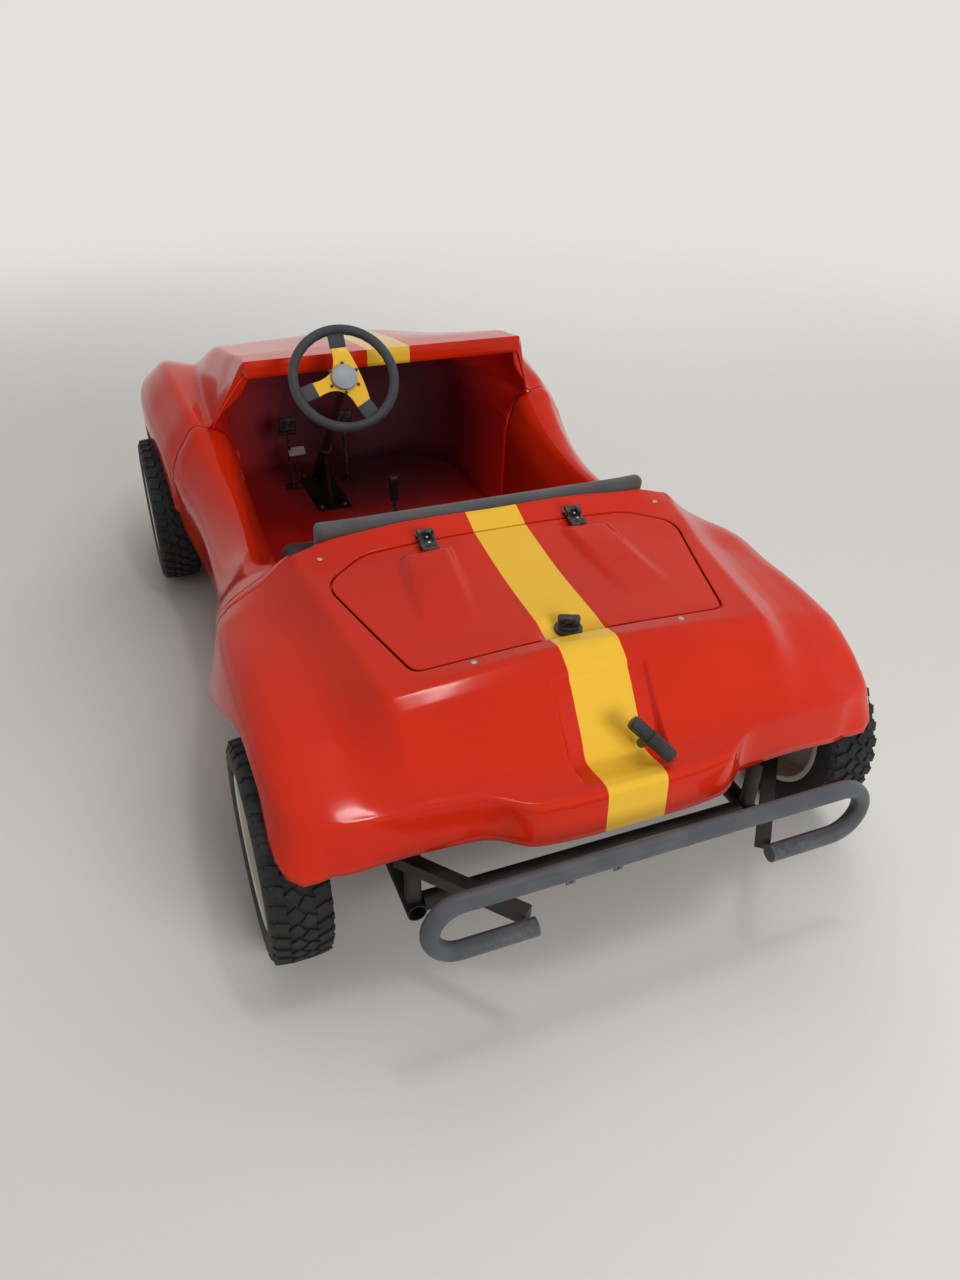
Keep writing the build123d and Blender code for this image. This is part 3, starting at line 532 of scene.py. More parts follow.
def tail_hem(x, y):
    """Height of the rear body's lower edge: wheel arch along the side, skirt along the tail."""
    arch = eased(y, (385, 440, 514, 600, 700, 760, 816, 870, 905, 939, 965, 985, 1020),
                 (303, 320, 368, 418, 456, 468, 464, 440, 412, 374, 340, 322, 314),
                 (20, 30, 35, 40, 26, 26, 20, 14, 14, 12, 9, 9))
    skirt = eased(abs(x), (0, 150, 235, 380, 520, 620), (338, 338, 340, 338, 322, 312), (50, 35, 60, 60))
    side = smooth((abs(x) - 535) / 40) * (1 - smooth((y - 968) / 30))
    return skirt * (1 - side) + arch * side


def wall_point(start, away, slope, first, second, flare, lower, row, arc, rows):
    """Point of a wall hung from start: a rounded shoulder over its first rows, then down to its edge."""
    corner = Vector((start.x + away.x * first * math.cos(slope), start.y + away.y * first * math.cos(slope),
                     start.z - first * math.sin(slope)))
    fall = Vector((away.x * flare, away.y * flare, -1))
    second = min(second, max(corner.z - lower - 1, 2))
    end = corner + fall * second
    if row <= arc:
        t = row / arc
        return start * (1 - t) ** 2 + corner * 2 * t * (1 - t) + end * t * t
    part = (row - arc) / (rows - arc)
    return end + fall * max(end.z - lower, 0.5) * part


def both_halves(points):
    """Closed loop from the +X half, front middle to rear middle and back round."""
    return points + [Vector((-p.x, p.y)) for p in reversed(points[1:-1])]


class BUGGY_OT_rear_body(bpy.types.Operator):
    """Rear deck, wings and tail in one glossy moulding, and the engine lid that fills its opening"""
    bl_idname = "buggy.rear_body"
    bl_label = "Rear body and lid"

    def execute(self, context):
        counts = (40, 18, 48, 34, 8, 20, 16)
        hole = both_halves(spaced(rounded_path(HOLE_OUTLINE, HOLE_ROUNDS), HOLE_OUTLINE, counts))
        ledge = both_halves(spaced(rounded_path(LEDGE_OUTLINE, HOLE_ROUNDS), LEDGE_OUTLINE, counts))
        outer_keys = TAIL_OUTLINE[:3] + (TAIL_OUTLINE[4],) + TAIL_OUTLINE[-4:]
        outer = both_halves(spaced(rounded_path(TAIL_OUTLINE, TAIL_ROUNDS), outer_keys, counts))
        total = len(outer)
        out = []
        for k in range(total):
            run = outer[(k + 1) % total] - outer[k - 1]
            away = Vector((-run.y, run.x)).normalized()
            out.append(-away if away.dot(outer[k] - Vector((0, 640))) < 0 else away)
        # Rings lie closest where the pocket's upper step and its bend are
        parts = [0.0]
        for count, upto in ((16, 0.28), (26, 0.42), (16, 0.6), (16, 0.74), (16, 1.0)):
            parts += [parts[-1] + (upto - parts[-1]) * (step + 1) / count for step in range(count)]
        rings, arc, wall = len(parts) - 1, 6, 6

        def place(column, row):
            k = column % total
            x, y = hole[k]
            if row == 0:
                return ledge[k].x, ledge[k].y, rear_top(x, y) - LEDGE_DEPTH
            if row == 1:
                return x, y, rear_top(x, y) - LEDGE_DEPTH + 1
            if row <= rings + 2:
                x, y = hole[k].lerp(outer[k], parts[row - 2])
                return x, y, rear_top(x, y) - tail_pocket(x, y) - (SOFT_EDGE if row == 2 else 0)
            x, y = outer[k]
            z = rear_top(x, y) - tail_pocket(x, y)
            if y < 388:
                step = row - rings - 2
                lower = 12 + smooth((abs(x) - 400) / 8) * 180
                return x, y, z - lower * step / (arc + wall)
            away = out[k]
            sideways = smooth((abs(x) - 520) / 50)
            slope = min(max(math.atan2(z - rear_top(x + away.x * 2, y + away.y * 2), 2), 0.0), 1.2)
            centre = (1 - smooth((abs(x) - 180) / 60)) * (1 - sideways)
            flare = eased(y, (385, 520, 700, 1000), (0.2, 0.18, 0.33, 0.3), (40, 60)) * sideways
            first, second = 7 + 16 * sideways + 7 * centre, 6 + 18 * sideways + 18 * centre
            return wall_point(Vector((x, y, z)), away, slope, first, second, 0.04 + flare, tail_hem(x, y),
                              row - rings - 2, arc, arc + wall)

        shape = placed_grid(total, rings + 2 + arc + wall, place)
        bmesh.ops.remove_doubles(shape, verts=shape.verts, dist=0.0002)
        finish_piece("rear_body_skin", shape, "red_gelcoat", "root", ["rear_body"], wall=5)

        lid = both_halves(spaced(rounded_path(LID_OUTLINE, LID_ROUNDS), LID_OUTLINE, (54, 18, 54, 54)))
        total = len(lid)
        middle = [Vector((p.x * 0.02, 640 + (p.y - 640) * 0.02)) for p in lid]
        rings = 44

        def place_lid(column, row):
            k = column % total
            if row == 0:
                x, y = lid[k]
                return x, y, rear_top(x, y) + lid_relief(x, y) - LID_EDGE_DEPTH
            part = (row - 1) / rings
            x, y = lid[k].lerp(middle[k], part)
            return x, y, rear_top(x, y) + lid_relief(x, y) - (SOFT_EDGE if row == 1 else 0)

        shape = placed_grid(total, rings + 1, place_lid)
        bmesh.ops.remove_doubles(shape, verts=shape.verts, dist=0.0002)
        centre = [edge for edge in shape.edges if edge.is_boundary and edge.verts[0].co.z > 0.57
                  and abs(edge.verts[0].co.x) < 0.02 and abs(edge.verts[0].co.y - 0.64) < 0.02]
        bmesh.ops.holes_fill(shape, edges=centre, sides=0)
        finish_piece("engine_lid_skin", shape, "red_gelcoat", "lid", ["engine_lid"], wall=4)
        return {"FINISHED"}


def nose_edge(y):
    """Half-width of the nose's top where its shoulder starts to round."""
    x3, z3, x4, z4 = (eased(y, NOSE_Y, NOSE_COLUMNS[k], NOSE_SPREADS) for k in (5, 6, 7, 8))
    return x4 - 46 * (x4 - x3) / math.hypot(x4 - x3, z4 - z3)


class BUGGY_OT_nose(bpy.types.Operator):
    """Hood and front wings in one moulding, with the folded lip along the cockpit's front edge"""
    bl_idname = "buggy.nose"
    bl_label = "Nose"

    def execute(self, context):
        columns, rows = 170, 96

        def place(column, row):
            u = column / columns * 2 - 1
            v = row / rows
            reach = abs(u) * 580
            start = -1128 if reach < 490 else -978 - math.sqrt(max(150 ** 2 - (reach - 490) ** 2, 0))
            rear = eased(abs(u) * 569, (0, 388, 468, 600), (-343, -343, -460, -460), (5, 8))
            y = start + (rear - start) * v
            x = u * min(nose_edge(y), 580 + max(y + 1100, 0) * 0.3)
            return x, y, nose_top(x, y)

        shape = placed_grid(columns, rows, place)
        border = [edge for edge in shape.edges if edge.is_boundary]
        lip = [edge for edge in border if min(c.co.y for c in edge.verts) > -0.462
               and max(c.co.y for c in edge.verts) > -0.4599
               and not all(abs(c.co.x) > 0.55 for c in edge.verts)]
        sides = [edge for edge in border if not all(c.co.y > -0.4605 for c in edge.verts)]
        hang_wall(shape, sides, 11, self.wall_spot)
        hang_wall(shape, lip, 4, self.lip_spot)
        finish_piece("nose_skin", shape, "red_gelcoat", "root", ["nose_body"], wall=5)
        return {"FINISHED"}

    @staticmethod
    def wall_spot(start, away, row):
        """Rounded shoulder, then the wing's side down to the arch or the nose's lower edge."""
        x, y, z = start / MM
        arch = eased(y, (-1128, -1046, -1018, -960, -880, -740, -600, -520, -478, -456),
                     (262, 262, 320, 400, 442, 452, 442, 396, 316, 268), (16, 16, 30, 40, 60, 60, 40, 26, 10))
        front = smooth((-1060 - y) / 50)
        lower = arch * (1 - front) + 258 * front
        slope = min(max(math.atan2(z - nose_top(x + away.x * 2, y + away.y * 2), 2), 0.0), 1.25)
        flare = -0.052 if y > -480 else 0.0
        return wall_point(Vector((x, y, z)), away, slope, 46, 46 - 10 * front, flare, lower, row, 6, 11) * MM

    @staticmethod
    def lip_spot(start, away, row):
        """Lip folded down along the cowl's rear edge, narrowing to nothing at the wing."""
        x, y, z = start / MM
        height = smooth((z - 566) / 150) * 44
        part = row / 4
        side = smooth((abs(x) - 385) / 12)
        across = -math.copysign(side * height * 0.55, x) * part
        down = height * part * (1 - 0.4 * side)
        return Vector((x + across, y + 3 * min(part * 4, 1) * (1 - side), z - down)) * MM


def hang_wall(shape, border, rows, place):
    """Extrudes a border row by row; place(start, outward direction, row) gives each corner's spot."""
    runs = {}
    for edge in border:
        a, b = edge.verts[0].co, edge.verts[1].co
        for corner, other in ((a, b), (b, a)):
            runs.setdefault(spot(corner), []).append((corner.copy(), other.copy()))
    starts = {}
    centre = Vector((0, -0.6))
    for key, pairs in runs.items():
        here = pairs[0][0]
        normal = Vector((0, 0))
        for _, other in pairs:
            run = (other - here).to_2d()
            side = Vector((-run.y, run.x)).normalized()
            normal += side if side.dot(here.to_2d() - centre) > 0 else -side
        starts[key] = (here, normal.normalized())
    edges = border
    for row in range(1, rows + 1):
        grown = bmesh.ops.extrude_edge_only(shape, edges=edges)["geom"]
        fresh = [part for part in grown if isinstance(part, bmesh.types.BMVert)]
        known = set(fresh)
        edges = [part for part in grown if isinstance(part, bmesh.types.BMEdge) and set(part.verts) <= known]
        moved = {}
        for corner in fresh:
            start = starts[spot(corner.co)]
            corner.co = place(*start, row)
            moved[spot(corner.co)] = start
        starts = moved


# Rear edge of the liner on the +X side: share of the way round, x, y, z
LINER_EDGE = ((0.0, 397, -458, 150), (0.17, 404, -459, 472), (0.21, 438, -460, 540),
              (0.24, 470, -462, 553), (0.31, 440, -424, 621), (0.39, 379, -350, 738), (0.5, 0, -350, 741))
LINER_SPREADS = (0.015, 0.01, 0.01, 0.02, 0.02)


class BUGGY_OT_liner(bpy.types.Operator):
    """Inner skin under the hood that closes the cockpit round the foot well"""
    bl_idname = "buggy.liner"
    bl_label = "Cockpit liner"

    def execute(self, context):
        columns, rows = 96, 44
        shares = [point[0] for point in LINER_EDGE]

        def place(column, row):
            share = column / columns
            half = min(share, 1 - share)
            side = 1 if share < 0.5 else -1
            x, y, z = (eased(half, shares, [point[k] for point in LINER_EDGE], LINER_SPREADS)
                       for k in (1, 2, 3))
            part = row / rows
            along = y + (-1062 - y) * (1 - (1 - part) ** 1.6)
            end = math.sqrt(max(1 - max((-850 - along) / 212, 0) ** 2, 0.0))
            turn = half * math.pi
            wide = 397 * end ** 0.6 * math.cos(turn) ** 0.4 if half < 0.5 else 0
            top = eased(along, (-1062, -850, -351), (540, 610, 720), (60,))
            tall = 150 + (top - 150) * end ** 0.5 * math.sin(turn) ** 0.4
            own = smooth(part / (0.6 - 0.3 * smooth((half - 0.17) / 0.1)))
            return side * (x + (wide - x) * own), along, z + (tall - z) * own

        shape = placed_grid(columns, rows, place)
        bmesh.ops.remove_doubles(shape, verts=shape.verts, dist=0.0001)
        bmesh.ops.recalc_face_normals(shape, faces=shape.faces)
        below_hood = Vector((0, -0.5, 0.72))
        probe = min(shape.faces, key=lambda face: (face.calc_center_median() - below_hood).length)
        if probe.normal.z > 0:
            bmesh.ops.reverse_faces(shape, faces=shape.faces)
        # The liner's colour carries the painted shade of the foot well
        finish_piece("nose_liner", shape, "overspray_gelcoat", "root", wall=3, angle=60,
                     recalc=False)
        return {"FINISHED"}


# y, inner z, ridge x z, slope x z, crown x z, side x z, hem x z, side round
SIDE_ROWS = (
    (-460, 472, 436, 546, 474, 562, 520, 575, 594, 462, 584, 268, 46),
    (-400, 448, 438, 528, 476, 547, 516, 550, 586, 442, 575, 251, 48),
    (-340, 430, 442, 502, 478, 517, 510, 518, 576, 424, 566, 236, 50),
    (-215, 400, 447, 470, 470, 481, 500, 472, 566, 400, 550, 214, 54),
    (-90, 384, 452, 456, 472, 464, 498, 452, 566, 394, 548, 206, 54),
    (60, 384, 464, 456, 480, 463, 502, 454, 572, 394, 552, 206, 54),
    (180, 400, 474, 480, 492, 485, 518, 472, 584, 404, 572, 216, 46),
    (290, 450, 464, 540, 496, 524, 540, 500, 600, 436, 606, 250, 34),
    (385, 560, 440, 599, 500, 543, 556, 512, 599, 483, 642, 303, 23),
)


class BUGGY_OT_cockpit_sides(bpy.types.Operator):
    """Smooth cockpit sides that join the front wings to the rear wings over rounded sills"""
    bl_idname = "buggy.cockpit_sides"
    bl_label = "Cockpit sides"

    def execute(self, context):
        knots = [row[0] for row in SIDE_ROWS]
        columns = [[row[k] for row in SIDE_ROWS] for k in range(1, 13)]
        spreads = [28, 28, 60, 60, 70, 60, 50]
        sections = []
        rows = 96

        def fair(point, y):
            # Its top runs into the nose and the rear body at the same height as theirs
            rear, front = smooth((y - 335) / 50), smooth((-400 - y) / 60)
            z = point.y
            if rear and 441 < point.x < 582 and z > 460:
                z += (rear_top(point.x, 385) - z) * rear
            if front and 480 < point.x < nose_edge(-460) and z > 460:
                z += (nose_top(point.x, -460) - z) * front
            return Vector((point.x, z))

        for row in range(rows + 1):
            y = knots[0] + (knots[-1] - knots[0]) * row / rows
            z0, x1, z1, x2, z2, x3, z3, x4, z4, x5, z5, shoulder = (
                eased(y, knots, column, spreads) for column in columns)
            # Its lower edge rises ahead of the rear wheel, up to the hem of the rear wing
            rise = smooth((y - 235) / 150)
            tuck = (x5 - 70 + 44 * rise, 152 + 134 * rise)
            points = [(398, 157), (405, z0), (x1, z1), (x2, z2), (x3, z3), (x4, z4), (x5, z5), tuck]
            path = rounded_path(points, (40, 30, 26, 34, shoulder, 24))
            sections.append((y, [fair(point, y) for point in path]))
        count = len(sections[0][1])

        for side, name in ((1, "left"), (-1, "right")):
            def place(column, row):
                y, path = sections[row]
                point = path[column]
                return side * point.x, y, point.y

            shape = placed_grid(count - 1, rows, place)
            bmesh.ops.remove_doubles(shape, verts=shape.verts, dist=0.00005)
            for turn in range(10):
                # Each turn stops earlier, so that the smoothing fades out towards both ends
                fade = turn * 0.012
                soft = [corner for corner in shape.verts if fade - 0.42 < corner.co.y < 0.33 - fade
                        and corner.co.z > 0.22 and not corner.is_boundary]
                bmesh.ops.smooth_vert(shape, verts=soft, factor=0.5, use_axis_x=True, use_axis_z=True)
            bmesh.ops.recalc_face_normals(shape, faces=shape.faces)
            piece = finish_piece(f"cockpit_side_{name}", shape, "red_gelcoat", "root",
                                 [f"side_{name}"], wall=4)
            probe = max(piece.data.polygons, key=lambda face: face.center.z)
            if probe.normal.z < 0:
                piece.data.flip_normals()
        return {"FINISHED"}


# Seat

def settled(piece):
    """Replaces a piece's mesh by what its modifiers make of it."""
    graph = bpy.context.evaluated_depsgraph_get()
    made = bpy.data.meshes.new_from_object(piece.evaluated_get(graph))
    piece.modifiers.clear()
    piece.data = made


def inflate(piece, pressure, cap, voxel):
    """Swells a closed soft shape with the cloth solver, no point moving further than the cap."""
    remesh = piece.modifiers.new("even", "REMESH")
    remesh.mode = "VOXEL"
    remesh.voxel_size = voxel * MM
    settled(piece)
    before = [corner.co.copy() for corner in piece.data.vertices]
    cloth = piece.modifiers.new("swell", "CLOTH").settings
    cloth.use_pressure = True
    cloth.uniform_pressure_force = pressure
    cloth.effector_weights.gravity = 0
    cloth.tension_stiffness = 20
    cloth.compression_stiffness = 20
    for step in range(1, 21):
        bpy.context.scene.frame_set(step)
    settled(piece)
    bpy.context.scene.frame_set(1)
    for corner, old in zip(piece.data.vertices, before):
        move = corner.co - old
        if move.length > cap * MM:
            corner.co = old + move.normalized() * cap * MM


class BUGGY_OT_seat(bpy.types.Operator):
    """Padded bench cushion and the thin padded board behind it"""
    bl_idname = "buggy.seat"
    bl_label = "Seat"

    def execute(self, context):
        low, high = cad_box("seat_cushion")
        self.pad("bench_cushion", (low + high) / 2, (high - low) - Vector((0.022, 0.014, 0.018)), 0.0, 26,
                 "seat_vinyl", "seat_cushion", 6, 7)
        low, high = cad_box("backrest")
        # How far the board leans back over its height, in millimetres
        back, tall = 52, 273.7
        size = Vector((high.x - low.x - 0.010, 0.034, math.hypot(back * MM, tall * MM) - 0.006))
        self.pad("back_board", (low + high) / 2, size, math.atan2(back, tall), 13, "back_vinyl",
                 "backrest", 4, 5)
        return {"FINISHED"}

    def pad(self, name, middle, size, lean, rounding, material, node, cap, voxel):
        shape = bmesh.new()
        made = bmesh.ops.create_cube(shape, size=1.0)["verts"]
        bmesh.ops.scale(shape, vec=size, verts=made)
        bevelled(shape, list(shape.verts) + list(shape.edges), rounding, 4)
        turn = Matrix.Translation(middle) @ Matrix.Rotation(-lean, 4, "X")
        bmesh.ops.transform(shape, matrix=turn, verts=shape.verts)
        piece = finish_piece(name, shape, material, "root", [node], angle=80)
        inflate(piece, 4.0, cap, voxel)
        piece.data.shade_smooth()
        sheet = piece.modifiers.new("smooth", "SUBSURF")
        sheet.levels = sheet.render_levels = 1


# Wheels

class BUGGY_OT_wheels(bpy.types.Operator):
    """Four block-tread tyres on pressed steel rims"""
    bl_idname = "buggy.wheels"
    bl_label = "Wheels"

    def execute(self, context):
        sizes = context.scene.buggy_sizes
        for name, body in (("front_left", "wheel_front_left"), ("front_right", "wheel_front_right"),
                           ("rear_left", "rear_axle"), ("rear_right", "rear_axle")):
            low, high = cad_box(f"tyre_{name}")
            centre = (low + high) / 2 / MM
            axle = at(*centre, (1 if centre.x > 0 else -1, 0, 0))
            self.tyre(name, body, axle, sizes.tread_blocks)
            self.rim(name, body, axle)
        return {"FINISHED"}

    def tyre(self, name, body, axle, blocks):
        shape = bmesh.new()
        carcass = [(141, -44), (150, -49), (160, -55), (172, -57.5), (188, -57.5), (198, -54), (205, -46),
                   (208.5, -30), (209.5, -10), (209.5, 10), (208.5, 30), (205, 46), (198, 54), (188, 57.5),
                   (172, 57.5), (160, 55), (150, 49), (141, 44)]
        add_turned(shape, carcass, axle, 72)
        chance = random.Random(7)
        pitch = 360 / blocks
        for index in range(blocks):
            # Two rows of slanted blocks in the middle and one on each side of them
            for radius, place, width, length, shift_by, lean, twist in (
                (207.5, 11, 20, 24, 0.0, 0, 34), (207.5, -11, 20, 24, 0.5, 0, -34),
                (205.5, 37, 25, 19, 0.4, 7, -16), (205.5, -37, 25, 19, 0.9, -7, 16),
            ):
                block = (axle @ turn_by(pitch * index + shift_by * pitch) @ shift(radius, 0, place)
                         @ turn_by(-lean, "Y") @ turn_by(twist, "X"))
                add_block(shape, (14, length, width), block, 1.2, 1)
            # Shoulder lugs
            for place, shift_by, lean in ((50, 0.4, 52), (-50, 0.9, -52)):
                block = (axle @ turn_by(pitch * (index + shift_by)) @ shift(199.5, 0, place)
                         @ turn_by(-lean, "Y"))
                add_block(shape, (9, 17, 13), block, 1.0, 1)
        # Fine rubber hairs left by the mould
        for _ in range(70):
            place = chance.choice((-52.5, -51, 51, 52.5)) * chance.uniform(0.8, 1.0)
            turn = Matrix.Rotation(chance.uniform(0, 2 * math.pi), 4, "Z")
            lean = math.radians(chance.uniform(30, 75)) * (1 if place > 0 else -1)
            hair = (axle @ turn @ shift(chance.uniform(196, 205), 0, place)
                    @ Matrix.Rotation(math.pi / 2 - lean, 4, "Y"))
            bmesh.ops.create_cone(shape, cap_ends=True, segments=4, radius1=0.7 * MM, radius2=0.35 * MM,
                                  depth=chance.uniform(5, 9) * MM, matrix=hair)
        finish_piece(f"tyre_{name}_tread", shape, "tyre_rubber", body, [f"tyre_{name}"],
                     recalc=False, angle=32)

    def rim(self, name, body, axle):
        shape = bmesh.new()
        bore = 15.0 if name.startswith("rear") else 10.1
        hub = [(bore, -30), (33, -30), (34, -29), (34, 15), (60, 15.5), (78, 19), (92, 25), (104, 26),
               (116, 20), (124, 14), (137, 13), (137, -50), (142, -52), (148, -52), (149, -50.5), (149, -49.5),
               (147, -48.5), (141, -47), (140, -44), (140, 44), (141, 47), (147, 48.5), (149, 49.5),
               (149, 50.5), (148, 52), (142, 52), (138, 49), (137, 19), (124, 20), (117, 25.5), (104, 31.5),
               (90, 30.5), (77, 24.5), (60, 21), (34, 20.5), (34, 29), (33, 30), (bore, 30), (bore, -30)]
        add_turned(shape, hub, axle, 64)
        bolt_circle = 48
        for index in range(4):
            angle = math.radians(45 + 90 * index)
            spot_on = axle @ shift(math.cos(angle) * bolt_circle, math.sin(angle) * bolt_circle, 20.7)
            add_hex_bolt(shape, spot_on, 13, 7, material=1)
        nut = [(bore, 30), (26, 30), (27, 31), (27, 36), (25, 38), (bore, 38), (bore, 30)]
        add_turned(shape, nut, axle, 32, 1)
        bmesh.ops.recalc_face_normals(shape, faces=shape.faces)
        finish_piece(f"rim_{name}_pressed", shape, ("wheel_enamel", "zinc_steel"), body,
                     [f"rim_{name}"], recalc=False)


# Steering wheel and controls

def steering_matrix():
    """Placing matrix at the steering wheel's middle, Z along the column towards the driver."""
    low, high = cad_box("steering_grip")
    axis = (Vector((160, -200, 750)) - Vector((93, -870, 215))).normalized()
    up = Vector((0, 0, 1)).cross(axis).normalized()
    side = axis.cross(up)
    turned = Matrix((up, side, axis)).transposed().to_4x4()
    return Matrix.Translation((low + high) / 2) @ turned


# Places of the three arms round the wheel, as it stands in the photograph
ARM_ANGLES = (93, 199, 300)
RING_RADIUS = 126
TUBE_RADIUS = 12.6
ARM_REACH = 80
ARM_HALF_WIDTH = 19.5


class BUGGY_OT_steering_wheel(bpy.types.Operator):
    """Steering wheel: rubber grip, yellow three-arm plate with hollow edges, bolts and cap"""
    bl_idname = "buggy.steering_wheel"
    bl_label = "Steering wheel"

    def execute(self, context):
        seat = steering_matrix()
        shape = bmesh.new()
        upright = shift(RING_RADIUS, 0, 0) @ Matrix.Rotation(math.pi / 2, 4, "X")
        ring = bmesh.ops.create_circle(shape, segments=20, radius=TUBE_RADIUS * MM, matrix=upright)["verts"]
        bmesh.ops.spin(shape, geom=ring + edges_of(ring), cent=(0, 0, 0), axis=(0, 0, 1), angle=2 * math.pi,
                       steps=96, use_merge=True)
        bmesh.ops.remove_doubles(shape, verts=shape.verts, dist=1e-6)
        # Thirty finger waves on the inside of the ring
        for corner in shape.verts:
            turn = math.atan2(corner.co.y, corner.co.x)
            away = corner.co.to_2d().length - RING_RADIUS * MM
            inner = max(-away / (TUBE_RADIUS * MM), 0)
            corner.co.xy -= corner.co.to_2d().normalized() * (-0.0011 * inner * (1 + math.cos(turn * 30)) / 2)
        bmesh.ops.transform(shape, matrix=seat, verts=shape.verts)
        finish_piece("steering_grip_rubber", shape, "grip_rubber", "steering",
                     ["steering_grip"])

        shape = bmesh.new()
        corners = []
        for middle, following in zip(ARM_ANGLES, ARM_ANGLES[1:] + (ARM_ANGLES[0] + 360,)):
            # From the end of one arm, in a hollow curve past the hub, to the next one
            spread = following - middle
            along, waist, along_next = (Vector((math.cos(math.radians(turn)), math.sin(math.radians(turn))))
                                        for turn in (middle, middle + spread / 2, following))
            across = Vector((-along.y, along.x)) * ARM_HALF_WIDTH
            start = along * ARM_REACH + across
            end = along_next * ARM_REACH - Vector((-along_next.y, along_next.x)) * ARM_HALF_WIDTH
            waist = waist * (36 if spread < 120 else 43)
            control = waist * 2 - (start + end) / 2
            corners.append(along * ARM_REACH - across)
            for step in range(14):
                t = step / 14
                corners.append(start * (1 - t) ** 2 + control * 2 * t * (1 - t) + end * t * t)
        face = shape.faces.new([shape.verts.new(Vector((p.x, p.y, 2)) * MM) for p in corners])
        lifted = bmesh.ops.extrude_face_region(shape, geom=[face])["geom"]
        bmesh.ops.translate(shape, vec=(0, 0, -4 * MM),
                            verts=[part for part in lifted if isinstance(part, bmesh.types.BMVert)])
        bmesh.ops.recalc_face_normals(shape, faces=shape.faces)
        bmesh.ops.transform(shape, matrix=seat, verts=shape.verts)
        piece = finish_piece("steering_plate_yellow", shape, "yellow_enamel", "steering",
                             ["steering_spokes"], angle=30)
        edge = piece.modifiers.new("edge", "BEVEL")
        edge.width = 0.8 * MM
        edge.segments = 2
        edge.limit_method = "ANGLE"

        shape = bmesh.new()
        for angle in ARM_ANGLES:
            add_block(shape, (38, 41, 8), seat @ turn_by(angle) @ shift(97, 0, 0), 2.4, 2)
        finish_piece("steering_arm_covers", shape, "grip_rubber", "steering")

        shape = bmesh.new()
        cap = [(0, 2), (32, 2), (32.5, 3), (32.5, 12), (31.6, 14.2), (29.6, 15), (0, 15)]
        add_turned(shape, cap, seat, 48)
        bolt_circle = 38.5
        for index in range(6):
            angle = math.radians(60 * index + 30)
            spot_on = seat @ shift(math.cos(angle) * bolt_circle, math.sin(angle) * bolt_circle, 2)
            add_turned(shape, disc(4.2, 3.4, 1.0), spot_on, 16, 1)
        finish_piece("steering_cap_and_bolts", shape, ("silver_cap", "black_abs"), "steering",
                     ["steering_hub"])
        return {"FINISHED"}


class BUGGY_OT_controls(bpy.types.Operator):
    """Two pedals, the hand lever and the bolts on the foot well"""
    bl_idname = "buggy.controls"
    bl_label = "Pedals and lever"

    def execute(self, context):
        shape = bmesh.new()
        for x in (185, -5):
            add_block(shape, (40, 44, 5), at(x, -892, 158.6), 1.5)
            add_turned(shape, rod(6, 200), at(x, -892, 160, (0, -0.03, 1)), 16)
            pad = at(x, -898, 371, (0, 1, 0.12))
            add_block(shape, (58, 60, 9), pad, 4, 3)
            for step in range(5):
                add_block(shape, (48, 4, 3), pad @ shift(0, -20 + 10 * step, 4.6), 1.0, 1)
        finish_piece("pedal_pads_ribbed", shape, "black_abs", "root", ["pedals"])

        shape = bmesh.new()
        add_block(shape, (60, 90, 4), at(-8, -335, 158.2), 1.0)
        add_turned(shape, rod(6, 168), at(-8, -335, 158, (0, -0.1, 1)), 20)
        grip = [(0, 0), (11, 0), (13, 3), (12, 8), (13.5, 20), (12.5, 34), (14, 48), (13, 62), (14, 70),
                (11, 76), (0, 78)]
        add_turned(shape, grip, at(-8, -351, 320, (0, -0.08, 1)), 28)
        finish_piece("hand_lever_grip", shape, "black_abs", "root", ["hand_lever"])

        shape = bmesh.new()
        for x, y in ((55, -950), (131, -950), (55, -700), (131, -700)):
            add_hex_bolt(shape, at(x, y, 161.2), 10, 5)
        add_hex_bolt(shape, at(-20, -1064.5, 470, (0, 1, 0)), 13, 6)
        finish_piece("floor_bolts", shape, "zinc_steel", "root")

        shape = bmesh.new()
        add_block(shape, (56, 34, 6), at(163, -888, 285, (0, 0.5, 0.87)), 3, 3)
        add_turned(shape, rod(5, 125), at(163, -884, 158, (0, -0.02, 1)), 16, 1)
        finish_piece("white_pedal_pad", shape, ("white_pad", "black_abs"), "root")
        return {"FINISHED"}


